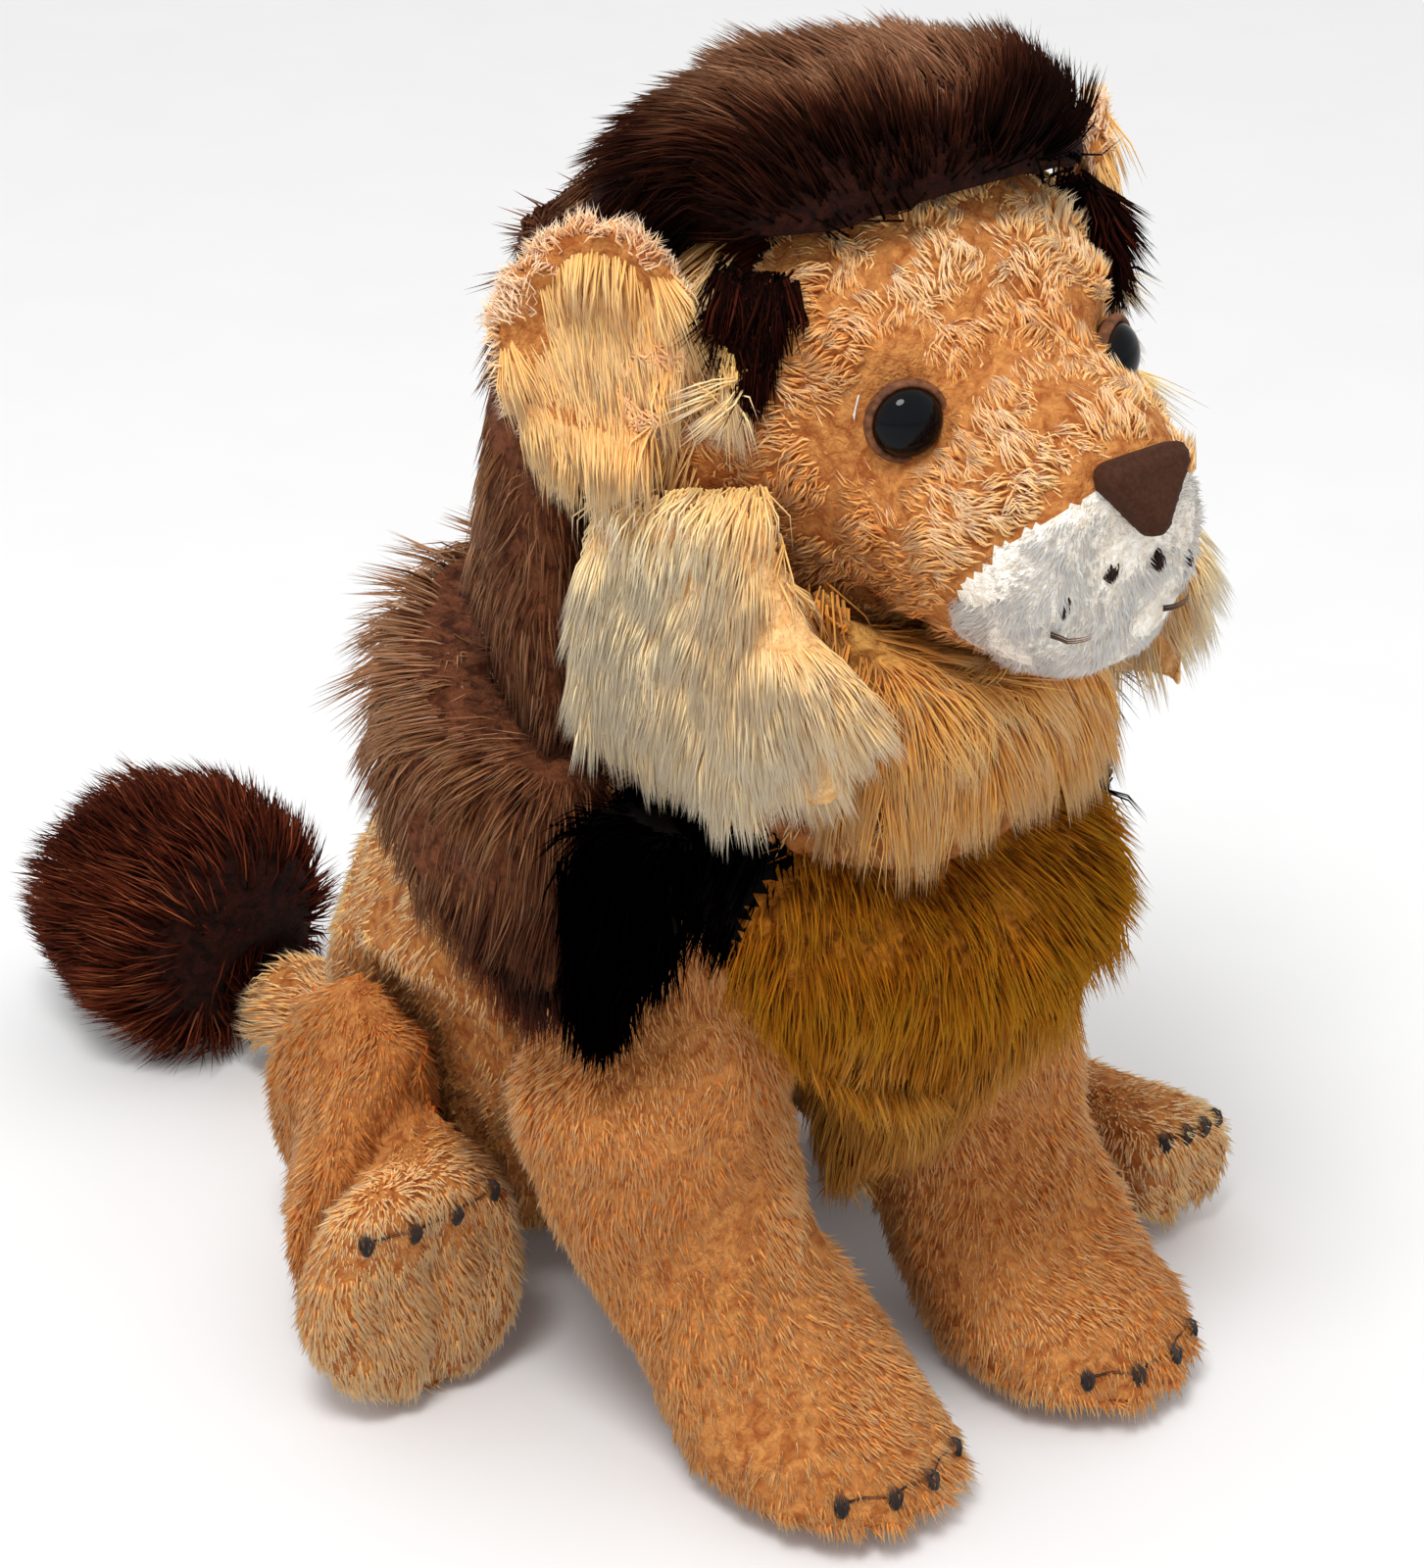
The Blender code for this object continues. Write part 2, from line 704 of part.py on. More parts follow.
def tuft_stations():
    """The tuft, from where the stem leaves it to its tip. It rests on the floor."""
    start_x = TAIL_ROOT_X - TAIL_DRIFT * TAIL_LENGTH / (TAIL_LENGTH + TAIL_HIDDEN)
    height = TUFT_RADIUS - FLAT_DEPTH
    return [(start_x - TUFT_DRIFT * share, TAIL_ROOT_Y + TAIL_LENGTH + TUFT_LENGTH * share, height,
             TUFT_RADIUS * size, TUFT_RADIUS * size) for share, size in TUFT_SHARES]


def ring_stations(low, height, middle, half_width, half_depth, shares):
    """Level rings of a fur piece, before it is cut to what it lies on."""
    return [(0, middle + half_depth * y, low + height * z, half_width * a, half_depth * b)
            for y, z, a, b in shares]


def facets(sides, rings, coarse):
    """Fewer sides and rings for what lies hidden inside a skin."""
    return (sides // 2, rings - RINGS_SAVED) if coarse else (sides, rings)


def torso_form(name, grow=0, coarse=False):
    sides, rings = facets(TORSO_SIDES, TORSO_RINGS, coarse)
    return soft_form(name, torso_stations(), sides, rings, grow, level=True)


def head_form(name, grow=0, coarse=False):
    sides, rings = facets(HEAD_SIDES, HEAD_RINGS, coarse)
    return soft_form(name, head_stations(), sides, rings, grow)


def ruff_form(name):
    stations = ring_stations(RUFF_LOW, RUFF_HEIGHT, RUFF_Y, RUFF_HALF_WIDTH, RUFF_HALF_DEPTH,
                             RUFF_SHARES)
    return soft_form(name, stations, RUFF_SIDES, RUFF_RINGS, level=True)


def cape_form(name):
    stations = ring_stations(CAPE_LOW, CAPE_HEIGHT, CAPE_Y, CAPE_HALF_WIDTH, CAPE_HALF_DEPTH,
                             CAPE_SHARES)
    return soft_form(name, stations, CAPE_SIDES, CAPE_RINGS, level=True)


def bib_form(name, grow=0):
    stations = ring_stations(BIB_LOW, BIB_HEIGHT, BIB_Y, BIB_HALF_WIDTH, BIB_HALF_DEPTH, BIB_SHARES)
    return soft_form(name, stations, BIB_SIDES, BIB_RINGS, grow, level=True)


# Cutting guides

def neck_frame():
    """The neck seam: its origin in the middle of the neck, its Z along the turning axis."""
    return Matrix.Translation((0, NECK_Y, NECK_HEIGHT)) @ Matrix.Rotation(NECK_TILT, 4, "X")


def half_space(name, point, normal, offset=0):
    """A guide that fills everything on the normal's side of a plane. Any axis that isn't the
    normal can be its up, so the one furthest from the normal is taken."""
    up = min((X_AXIS, Y_AXIS, Z_AXIS), key=lambda axis: abs(axis.dot(normal)))
    reach = CUTS_REACH
    return guide(box_form(name, (-reach, -reach, offset), (reach, reach, reach),
                          frame_at(Vector(point), normal, up)))


def above_neck():
    frame = neck_frame()
    return half_space("above_neck", frame.translation, frame.to_3x3() @ Z_AXIS, -GAP / 2)


def below_neck():
    frame = neck_frame()
    return half_space("below_neck", frame.translation, -(frame.to_3x3() @ Z_AXIS), -GAP / 2)


def floor_guide(height=0):
    return half_space("floor", (0, 0, height), -Z_AXIS)


def shoulder_guide(side, grow=0, under_mane=False):
    """What a foreleg sweeps: the shoulder's round, and the leg between its two limits.
    Under the mane it is only as wide as the top of the shoulder."""
    radius = SHOULDER_RADIUS + SWING_CLEARANCE + grow
    outline = []
    for step in range(SWEEP_STEPS + 1):
        angle = (math.pi + SHOULDER_REAR_SPLAY) * step / SWEEP_STEPS - SHOULDER_REAR_SPLAY
        outline.append((SHOULDER_Y + radius * math.cos(angle), SHOULDER_HEIGHT + radius * math.sin(angle)))
    drop = SHOULDER_HEIGHT + FORELEG_HALF_DEPTH
    rear, front = outline[0], outline[-1]
    outline.append((front[0] - drop * math.tan(SHOULDER_FRONT_SPLAY), front[1] - drop))
    outline.append((rear[0] - drop * math.tan(SHOULDER_REAR_SPLAY), rear[1] - drop))
    outer = SHOULDER_X + FORELEG_HALF_WIDTH
    if under_mane:
        outer = SHOULDER_TOP_X + FORELEG_HALF_WIDTH * SHOULDER_WIDTH_SHARE
    outer += SOCKET_CLEARANCE + grow
    return guide(prism_form("shoulder_guide", outline, side * (KEEL_HALF_WIDTH - grow), side * outer))


def keel_guide():
    """The middle of the chest, which the forelegs swing beside."""
    outline = []
    radius = KEEL_RADIUS + SWING_CLEARANCE
    for step in range(SWEEP_STEPS * 2):
        angle = math.pi * step / SWEEP_STEPS
        outline.append((SHOULDER_Y + radius * math.cos(angle), SHOULDER_HEIGHT + radius * math.sin(angle)))
    half_width = KEEL_HALF_WIDTH + GAP
    return guide(prism_form("keel_guide", outline, -half_width, half_width))


def hip_guide(side, grow=0):
    """What a hind leg sweeps beside the rump: the haunch's round and the space before it."""
    radius = HIP_RADIUS + SWING_CLEARANCE + grow
    outline = []
    for step in range(SWEEP_STEPS + 1):
        angle = -HIP_REAR_ANGLE + (HIP_TOP_ANGLE + HIP_REAR_ANGLE) * step / SWEEP_STEPS
        outline.append((HIP_Y + radius * math.cos(angle), HIP_HEIGHT + radius * math.sin(angle)))
    front, top = outline[-1]
    outline.append((front - CUTS_REACH, top - CUTS_REACH * math.tan(HIP_TOP_FALL)))
    outline.append((front - CUTS_REACH, -CUTS_REACH))
    outline.append((outline[0][0], -CUTS_REACH))
    return guide(prism_form("hip_guide", outline, side * (HIP_SEAM - grow), side * CUTS_REACH))


def tail_socket(grow=0):
    """The round pocket that the tail's root turns in."""
    place = Matrix.Translation((TAIL_ROOT_X, TAIL_ROOT_Y, TAIL_HEIGHT))
    sizes = [TAIL_RADIUS + SOCKET_CLEARANCE + grow] * 3
    return guide(ellipsoid_form("tail_socket", sizes, SOCKET_SIDES, SOCKET_RINGS, place))


def ear_frame(side, head):
    """The ear's fold line: X points out of the head, Y is the fold line, Z faces forward."""
    out = Vector((side * math.cos(EAR_TURN), math.sin(EAR_TURN), 0))
    point, _ = surface_hit(head, (0, EAR_BASE_Y, EAR_HEIGHT), side * X_AXIS)
    face = Vector((side * math.sin(EAR_TURN), -math.cos(EAR_TURN), 0))
    up = face.cross(out)
    return Matrix.Translation(point + out * EAR_STAND_OFF) @ Matrix((out, up, face)).transposed().to_4x4()


def ear_guide(frame):
    """The space that an ear folds through."""
    reach = EAR_HALF_WIDTH * EAR_ROOM_SHARE
    spread = reach * math.tan(EAR_FOLD + EAR_ROOM_SPREAD)
    height = EAR_HALF_HEIGHT + SWING_CLEARANCE
    bm = bmesh.new()
    base = EAR_HALF_THICKNESS * EAR_ROOM_BASE_SHARE
    corners = ((-base, -base), (-base, base), (reach, spread), (reach, -spread))
    face = bm.faces.new([bm.verts.new((x, -height, z)) for x, z in corners])
    result = bmesh.ops.extrude_face_region(bm, geom=[face])
    moved = [item for item in result["geom"] if isinstance(item, bmesh.types.BMVert)]
    bmesh.ops.translate(bm, verts=moved, vec=(0, height * 2, 0))
    bm.transform(frame)
    return guide(link_mesh("ear_guide", bm))


# Pieces of the body

def make_torso():
    """The sewn body skin, its stuffing and the pellet bag in the seat."""
    skin = torso_form("torso_skin")
    hollow = guide(torso_form("torso_hollow", -SKIN, coarse=True))
    filling = torso_form("torso_stuffing", -SKIN - GAP, coarse=True)
    cut(hollow, floor_guide(SKIN))
    cut(filling, floor_guide(SKIN + GAP), above_neck())
    for side, _ in SIDES:
        cut(skin, shoulder_guide(side), hip_guide(side))
        cut(hollow, shoulder_guide(side, SKIN), hip_guide(side, SKIN))
        cut(filling, shoulder_guide(side, SKIN + GAP), hip_guide(side, SKIN + GAP))
    place = Matrix.Translation((0, BAG_Y, SKIN + GAP + BAG_HALF_HEIGHT))
    sizes = Vector((BAG_HALF_WIDTH, BAG_HALF_DEPTH, BAG_HALF_HEIGHT))
    bag = ellipsoid_form("seat_pellet_bag", sizes, BAG_SIDES, BAG_RINGS, place)
    room = ellipsoid_form("bag_room", sizes + Vector((GAP, GAP, GAP)), BAG_SIDES, BAG_RINGS, place)
    cut(filling, guide(room))
    cut(hollow, tail_socket(SKIN))
    cut(filling, tail_socket(SKIN + GAP))
    cut(skin, above_neck(), floor_guide(), tail_socket(), hollow)
    dress(settle(skin), TAN_PLUSH)
    dress(settle(filling), FIBRE)
    dress(bag, BAG_CLOTH)
    return [skin, filling, bag]


def make_cape(torso_cutter, bib_cutter):
    """The brown cape over the shoulders and the near-black fur in front of each shoulder."""
    pieces = []
    edge = Vector((0, -math.sin(CAPE_EDGE_TILT), math.cos(CAPE_EDGE_TILT)))
    low_edge = half_space("cape_edge", (0, CAPE_SPLIT_Y, CAPE_EDGE_HEIGHT), -edge)
    front = half_space("cape_front", (0, CAPE_SPLIT_Y, 0), -Y_AXIS, -GAP / 2)
    back = half_space("cape_back", (0, CAPE_SPLIT_Y, 0), Y_AXIS, -GAP / 2)
    shoulders = [shoulder_guide(side, under_mane=True) for side, _ in SIDES]
    cape = cut(cape_form("shoulder_mane"), front, above_neck(), low_edge, torso_cutter, *shoulders)
    pieces.append(dress(settle(cape), UMBER_FUR))
    for side, name in SIDES:
        other = half_space("cape_middle", (0, 0, 0), -side * X_AXIS, -GAP / 2)
        piece = cut(cape_form("side_mane_" + name), back, other, above_neck(), low_edge, torso_cutter,
                    *shoulders, bib_cutter)
        pieces.append(dress(settle(piece), NEAR_BLACK_FUR))
    return pieces


def make_bib(torso_cutter):
    """The golden fur that hangs down the chest."""
    shoulders = [shoulder_guide(side) for side, _ in SIDES]
    bib = cut(bib_form("chest_bib"), above_neck(), torso_cutter, *shoulders)
    return dress(settle(bib), OCHRE_FUR)


# Pieces of the head

def eye_frame(side, head):
    """A frame on the head's surface that looks out along an eye."""
    out = Vector((side * math.sin(EYE_AIM_ANGLE), -math.cos(EYE_AIM_ANGLE), 0))
    point, _ = surface_hit(head, (side * EYE_SPREAD_X, EYE_AIM_Y, EYE_HEIGHT), -Y_AXIS)
    return frame_at(point - out * EYE_SINK, out, Z_AXIS)


def fitting_guide(name, radius, sides, matrix, washer_depth):
    """The seat, the shank's hole and the washer's room of one plastic fitting."""
    room = WASHER_RADIUS + GAP
    hole = SHANK_RADIUS + GAP
    deep = -SHANK_LENGTH - GAP
    shelf = GAP - washer_depth
    clear = radius + OVERRUN
    profile = ((0, deep), (room, deep), (room, shelf), (hole, shelf), (hole, -GAP),
               (radius + GAP, -GAP), (radius + GAP, clear), (0, clear))
    return guide(turned_form(name, profile, sides, matrix))


def make_eye(name, frame):
    """A domed safety eye with a rim, on a shank, and the washer that locks it."""
    dome = []
    for step in range(DOME_STEPS):
        angle = math.pi / 2 * (1 - step / DOME_STEPS)
        dome.append((EYE_RADIUS * math.cos(angle) if step else 0,
                     EYE_RIM + (EYE_DOME - EYE_RIM) * math.sin(angle)))
    profile = dome + [(EYE_RADIUS, EYE_RIM), (EYE_RADIUS, 0), (SHANK_RADIUS, 0),
                      (SHANK_RADIUS, -SHANK_LENGTH), (0, -SHANK_LENGTH)]
    eye = turned_form("eye_" + name, profile, EYE_SIDES, frame)
    washer = ring_form("eye_lock_washer_" + name, SHANK_RADIUS + GAP, WASHER_RADIUS,
                       -SKIN - WASHER_THICKNESS, -SKIN, EYE_SIDES, frame)
    dress(eye, EYE_PLASTIC)
    dress(washer, WASHER_PLASTIC)
    return [eye, washer]


def nose_outline(grow):
    """A triangle with its point down and its corners rounded, as (x, y) points."""
    centres = ((-NOSE_HALF_WIDTH + NOSE_CORNER, NOSE_RISE - NOSE_CORNER), (0, -NOSE_DROP + NOSE_CORNER),
               (NOSE_HALF_WIDTH - NOSE_CORNER, NOSE_RISE - NOSE_CORNER))
    radius = NOSE_CORNER + grow
    points = []
    for (x, y), start, end in zip(centres, NOSE_TURN_ANGLES, NOSE_TURN_ANGLES[1:]):
        for step in range(NOSE_CORNER_STEPS + 1):
            angle = math.radians(start + (end - start) * step / NOSE_CORNER_STEPS)
            points.append((x + radius * math.cos(angle), y + radius * math.sin(angle)))
    return points


def nose_plate(name, grow, low, high, frame):
    """The nose's plate between two heights, on its outline."""
    bm = bmesh.new()
    face = bm.faces.new([bm.verts.new((x, y, low)) for x, y in nose_outline(grow)])
    result = bmesh.ops.extrude_face_region(bm, geom=[face])
    moved = [item for item in result["geom"] if isinstance(item, bmesh.types.BMVert)]
    bmesh.ops.translate(bm, verts=moved, vec=(0, 0, high - low))
    if grow == 0:
        rim = [edge for edge in bm.edges if all(vert in moved for vert in edge.verts)]
        bmesh.ops.bevel(bm, geom=rim, offset=NOSE_EDGE, segments=NOSE_EDGE_STEPS, affect="EDGES")
    bm.transform(frame)
    return link_mesh(name, bm)


def make_nose(frame):
    """The nose with its shank, and its lock washer."""
    nose = nose_plate("nose", 0, 0, NOSE_THICKNESS, frame)
    shank = turned_form("nose_shank", ((0, -SHANK_LENGTH), (SHANK_RADIUS, -SHANK_LENGTH),
                                       (SHANK_RADIUS, NOSE_THICKNESS / 2), (0, NOSE_THICKNESS / 2)),
                        SHANK_SIDES, frame)
    combine(nose, guide(shank), "UNION")
    washer = ring_form("nose_lock_washer", SHANK_RADIUS + GAP, WASHER_RADIUS,
                       -SKIN - WASHER_THICKNESS, -SKIN, EYE_SIDES, frame)
    dress(settle(nose), NOSE_PLASTIC)
    dress(washer, WASHER_PLASTIC)
    return [nose, washer]


def muzzle_guide(name, grow):
    sizes = (MUZZLE_HALF_WIDTH + grow, MUZZLE_HALF_DEPTH + grow, MUZZLE_HALF_HEIGHT + grow)
    place = Matrix.Translation((0, MUZZLE_Y, MUZZLE_HEIGHT))
    return guide(ellipsoid_form(name, sizes, MUZZLE_SIDES, MUZZLE_RINGS, place))


def stitch(name, point, normal, up, length):
    """One raised stitch that lies on a surface, its length along up."""
    frame = frame_at(point + normal * (STITCH_HEIGHT / 2 + GAP), normal, up)
    sizes = (STITCH_WIDTH / 2, length / 2, STITCH_HEIGHT / 2)
    return dress(ellipsoid_form(name, sizes, STITCH_SIDES, STITCH_RINGS, frame), THREAD)


def make_muzzle_stitches(head):
    """The whisker spots on both cheeks of the muzzle, and the mouth line under the nose."""
    stitches = []
    for side, name in SIDES:
        for index, (across, rise) in enumerate(WHISKER_SHARES):
            angle = across * math.pi / 2
            out = Vector((side * math.sin(angle), -math.cos(angle), 0))
            height = MUZZLE_HEIGHT + MUZZLE_HALF_HEIGHT * (rise - WHISKER_BASE_SHARE)
            point, normal = surface_hit(head, (0, MUZZLE_Y + MUZZLE_HALF_DEPTH, height), out)
            spot = "whisker_stitch_%s_%d" % (name, index + 1)
            stitches.append(stitch(spot, point, normal, Z_AXIS, STITCH_LENGTH))
        out = Vector((side * math.sin(EYE_AIM_ANGLE), -math.cos(EYE_AIM_ANGLE),
                      -math.sin(MOUTH_DROP_ANGLE))).normalized()
        point, normal = surface_hit(head, (0, MUZZLE_Y + MUZZLE_HALF_DEPTH, MUZZLE_HEIGHT), out)
        stitches.append(stitch("mouth_stitch_" + name, point, normal, X_AXIS, MOUTH_STITCH_LENGTH))
    return stitches


def make_head():
    """The head's skin and stuffing, the neck under it, the face's panel and its fittings."""
    skin = head_form("head_skin")
    eyes = {side: eye_frame(side, skin) for side, _ in SIDES}
    aim = Vector((0, -math.cos(NOSE_TILT), math.sin(NOSE_TILT)))
    point, _ = surface_hit(skin, (0, MUZZLE_Y + MUZZLE_HALF_DEPTH, NOSE_HEIGHT), -Y_AXIS)
    nose_place = frame_at(point - aim * NOSE_SINK, aim, Z_AXIS)
    ears = {side: ear_frame(side, skin) for side, _ in SIDES}
    stitches = make_muzzle_stitches(skin)
    hollow = guide(head_form("head_hollow", -SKIN, coarse=True))
    filling = head_form("head_stuffing", -SKIN - GAP, coarse=True)
    panel = head_form("muzzle_panel")
    keep_within(panel, muzzle_guide("muzzle_patch", 0))
    rooms = [fitting_guide("eye_room", EYE_RADIUS, EYE_SIDES, eyes[side], SKIN) for side, _ in SIDES]
    nose_room = fitting_guide("nose_room", SHANK_RADIUS, EYE_SIDES, nose_place, SKIN)
    nose_seat = guide(nose_plate("nose_seat", GAP, -GAP, NOSE_THICKNESS * NOSE_ROOM_SHARE, nose_place))
    frame = neck_frame()
    opening = guide(turned_form("neck_opening", ((0, 0), (NECK_RADIUS - SKIN, 0),
                                                 (NECK_RADIUS - SKIN, NECK_RISE + GAP),
                                                 (0, NECK_RISE + GAP)), NECK_SIDES, frame))
    cut(skin, hollow, opening, muzzle_guide("muzzle_window", GAP), *rooms, nose_room, nose_seat)
    cut(panel, hollow, nose_room, nose_seat)
    cut(filling, *rooms, nose_room)
    tube = ring_form("neck_skin", NECK_RADIUS - SKIN, NECK_RADIUS, GAP / 2, NECK_RISE, NECK_SIDES, frame)
    core_radius = NECK_RADIUS - SKIN - GAP
    core = turned_form("neck_stuffing", ((0, GAP / 2), (core_radius, GAP / 2), (core_radius, NECK_RISE),
                                         (0, NECK_RISE)), NECK_SIDES, frame)
    head_cutter = guide(head_form("head_cutter", GAP))
    cut(tube, head_cutter)
    cut(core, guide(head_form("stuffing_cutter", -SKIN, coarse=True)))
    pieces = [dress(settle(skin), TAN_PLUSH), dress(settle(filling), FIBRE),
              dress(settle(panel), WHITE_PLUSH), dress(settle(tube), TAN_PLUSH),
              dress(settle(core), FIBRE)]
    pieces += stitches + make_nose(nose_place)
    for side, name in SIDES:
        pieces += make_eye(name, eyes[side])
    pieces += make_ruff(head_cutter, [ear_guide(ears[side]) for side, _ in SIDES])
    return pieces, ears


def make_ruff(head_cutter, ear_guides):
    """The crest, the nape, the cream cheek ruffs and the throat, cut from one ring of fur."""
    neck_cutter = guide(turned_form("neck_cutter", ((0, -NECK_RISE), (NECK_RADIUS + GAP, -NECK_RISE),
                                                    (NECK_RADIUS + GAP, NECK_RISE + GAP),
                                                    (0, NECK_RISE + GAP)), NECK_SIDES, neck_frame()))
    reach = CUTS_REACH
    still = Matrix.Identity(4)
    face = guide(box_form("face_window", (-reach, -reach, FACE_LOW), (reach, FACE_FRONT_Y, reach), still))
    hugging = [below_neck(), head_cutter, neck_cutter] + ear_guides
    crest_up = Vector((0, math.sin(CREST_TILT), math.cos(CREST_TILT)))
    crest_point = (0, RUFF_Y, CREST_LOW)
    above_crest = half_space("above_crest", crest_point, crest_up, -GAP / 2)
    below_crest = half_space("below_crest", crest_point, -crest_up, -GAP / 2)
    before_nape = half_space("before_nape", (0, NAPE_Y, 0), -Y_AXIS, -GAP / 2)
    behind_nape = half_space("behind_nape", (0, NAPE_Y, 0), Y_AXIS, -GAP / 2)
    crest = cut(ruff_form("mane_crest"), below_crest, head_cutter, *ear_guides)
    nape = cut(ruff_form("nape_mane"), before_nape, above_crest, *hugging)
    pieces = [dress(settle(crest), DARK_BROWN_FUR), dress(settle(nape), UMBER_FUR)]
    for side, name in SIDES:
        middle = half_space("throat_side", (side * THROAT_HALF_WIDTH, 0, 0), -side * X_AXIS, -GAP / 2)
        ruff = cut(ruff_form("cheek_ruff_" + name), behind_nape, middle, above_crest, face, *hugging)
        pieces.append(dress(settle(ruff), CREAM_FUR))
    edges = [half_space("throat_edge", (side * THROAT_HALF_WIDTH, 0, 0), side * X_AXIS, -GAP / 2)
             for side, _ in SIDES]
    throat = cut(ruff_form("throat_ruff"), behind_nape, *edges, above_crest, face, *hugging)
    pieces.append(dress(settle(throat), GOLDEN_FUR))
    return pieces


def make_ear(name, frame):
    """An ear's plush back, cupped at the front, and the pale lining in the cup."""
    middle = frame @ Matrix.Translation((EAR_HALF_WIDTH, 0, 0))
    sizes = Vector((EAR_HALF_WIDTH, EAR_HALF_HEIGHT, EAR_HALF_THICKNESS))
    forward = middle @ Matrix.Translation((0, 0, EAR_HALF_THICKNESS * CUP_FORWARD_SHARE))
    cup_sizes = sizes * CUP_SHARE
    ear = ellipsoid_form("ear_" + name, sizes, EAR_SIDES, EAR_RINGS, middle)
    lining = ellipsoid_form("ear_lining_" + name, sizes, EAR_SIDES, EAR_RINGS, middle)
    cut(ear, guide(ellipsoid_form("ear_cup", cup_sizes, EAR_SIDES, EAR_RINGS, forward)))
    for step in range(EAR_TRIM_STEPS + 1):
        angle = EAR_FOLD * (2 * step / EAR_TRIM_STEPS - 1)
        trim = guide(head_form("ear_trim", GAP))
        trim.data.transform(frame @ Matrix.Rotation(angle, 4, "Y") @ frame.inverted())
        cut(ear, trim)
    inner = cup_sizes - Vector((GAP, GAP, GAP))
    keep_within(lining, guide(ellipsoid_form("ear_patch", inner, EAR_SIDES, EAR_RINGS, forward)))
    return [dress(settle(ear), SAND_PLUSH), dress(settle(lining), CREAM_FUR)]


# Limbs

def make_limb(name, stations, sides, rings, seam_cuts, level, finish):
    """A limb's sewn skin, open at its seam, and the stuffing inside."""
    skin = soft_form(name + "_skin", stations, sides, rings, level=level)
    few_sides, few_rings = facets(sides, rings, coarse=True)
    hollow = guide(soft_form(name + "_hollow", stations, few_sides, few_rings, -SKIN, level))
    filling = soft_form(name + "_stuffing", stations, few_sides, few_rings, -SKIN - GAP, level)
    cut(hollow, floor_guide(SKIN))
    cut(skin, *seam_cuts, floor_guide(), hollow)
    cut(filling, *seam_cuts, floor_guide(SKIN + GAP))
    dress(settle(skin), finish)
    dress(settle(filling), FIBRE)
    return [skin, filling]


def claw_stops(radius):
    """The places of one row's cross-sections: (angle round the paw, half height) pairs."""
    stops = []
    for index in range(CLAW_COUNT):
        middle = (index - (CLAW_COUNT - 1) / 2) * CLAW_FAN
        if index:
            stops.append((middle - CLAW_FAN / 2, CLAW_HALF_LENGTH * CLAW_THREAD_SHARE))
        for along, size in CLAW_SHARES:
            stops.append((middle + along * CLAW_HALF_WIDTH / radius, CLAW_HALF_LENGTH * size))
    return stops


def make_claws(name, limb, centre, lift):
    """A row of embroidered claws round the front of a paw, in one strip of stitches whose
    cross-sections are low trapeziums that stand on the paw."""
    front, _ = surface_hit(limb, centre, -Y_AXIS)
    bm = bmesh.new()
    loops = []
    for turn, half_height in claw_stops((front - Vector(centre)).length):
        out = Vector((math.sin(turn), -math.cos(turn), math.tan(lift))).normalized()
        point, normal = surface_hit(limb, centre, out)
        up = (Z_AXIS - normal * normal.z).normalized()
        low = point + normal * CLAW_STAND_OFF
        high = low + normal * CLAW_THICKNESS
        top = half_height * CLAW_TOP_SHARE
        corners = (low - up * half_height, low + up * half_height, high + up * top, high - up * top)
        loops.append([bm.verts.new(corner) for corner in corners])
    bridge(bm, loops, len(loops[0]))
    for loop in (loops[0], loops[-1]):
        bm.faces.new(loop)
    return dress(link_mesh(name, bm), THREAD)


def make_foreleg(side, name):
    inner = half_space("foreleg_seam", (0, 0, 0), -side * X_AXIS, -GAP)
    pieces = make_limb("foreleg_" + name, foreleg_stations(side), FORELEG_SIDES, FORELEG_RINGS,
                       [keel_guide(), inner], True, TAN_PLUSH)
    paw_x = side * (SHOULDER_X - paw_step_in(side))
    centre = Vector((paw_x, SHOULDER_Y - FORELEG_REACH, PAW_CLAW_HEIGHT))
    form = guide(soft_form("paw_form", foreleg_stations(side), FORELEG_SIDES, FORELEG_RINGS, level=True))
    return pieces + [make_claws("foreleg_claws_" + name, form, centre, 0)]


def make_hindleg(side, name):
    seam = half_space("hip_seam", (side * HIP_SEAM, 0, 0), -side * X_AXIS, -GAP)
    pieces = make_limb("hindleg_" + name, hindleg_stations(side), HIND_SIDES, HIND_RINGS, [seam], False,
                       TAN_PLUSH)
    reach, spread, _, height = foot_sizes(side)
    centre = Vector((side * (HIP_X + spread), HIP_Y - reach + height, height))
    form = guide(soft_form("foot_form", hindleg_stations(side), HIND_SIDES, HIND_RINGS))
    return pieces + [make_claws("hindleg_claws_" + name, form, centre, FOOT_CLAW_LIFT)]


def make_tail():
    """The tail's stem, a tube that is open where the tuft is sewn on, its stuffing and the tuft."""
    tuft_room = guide(soft_form("tail_cutter", tail_stations(), TAIL_SIDES, TAIL_RINGS, GAP))
    end = (0, TAIL_ROOT_Y + TAIL_LENGTH + TAIL_HIDDEN - TAIL_OPENING, 0)
    pieces = make_limb("tail", tail_stations(), TAIL_SIDES, TAIL_RINGS,
                       [half_space("tail_seam", end, Y_AXIS)], False, TAN_PLUSH)
    tuft = soft_form("tail_tuft", tuft_stations(), HIND_SIDES, TUFT_RINGS)
    cut(tuft, tuft_room, floor_guide())
    return pieces + [dress(settle(tuft), DARK_BROWN_FUR)]


def hang_on(name, point, pieces):
    """Parent the pieces of one moving part to an empty on its joint."""
    pivot = bpy.data.objects.new(name, None)
    pivot.location = point
    bpy.context.collection.objects.link(pivot)
    bpy.context.view_layer.update()
    for piece in pieces:
        piece.parent = pivot
        piece.matrix_parent_inverse = pivot.matrix_world.inverted()
    return pivot


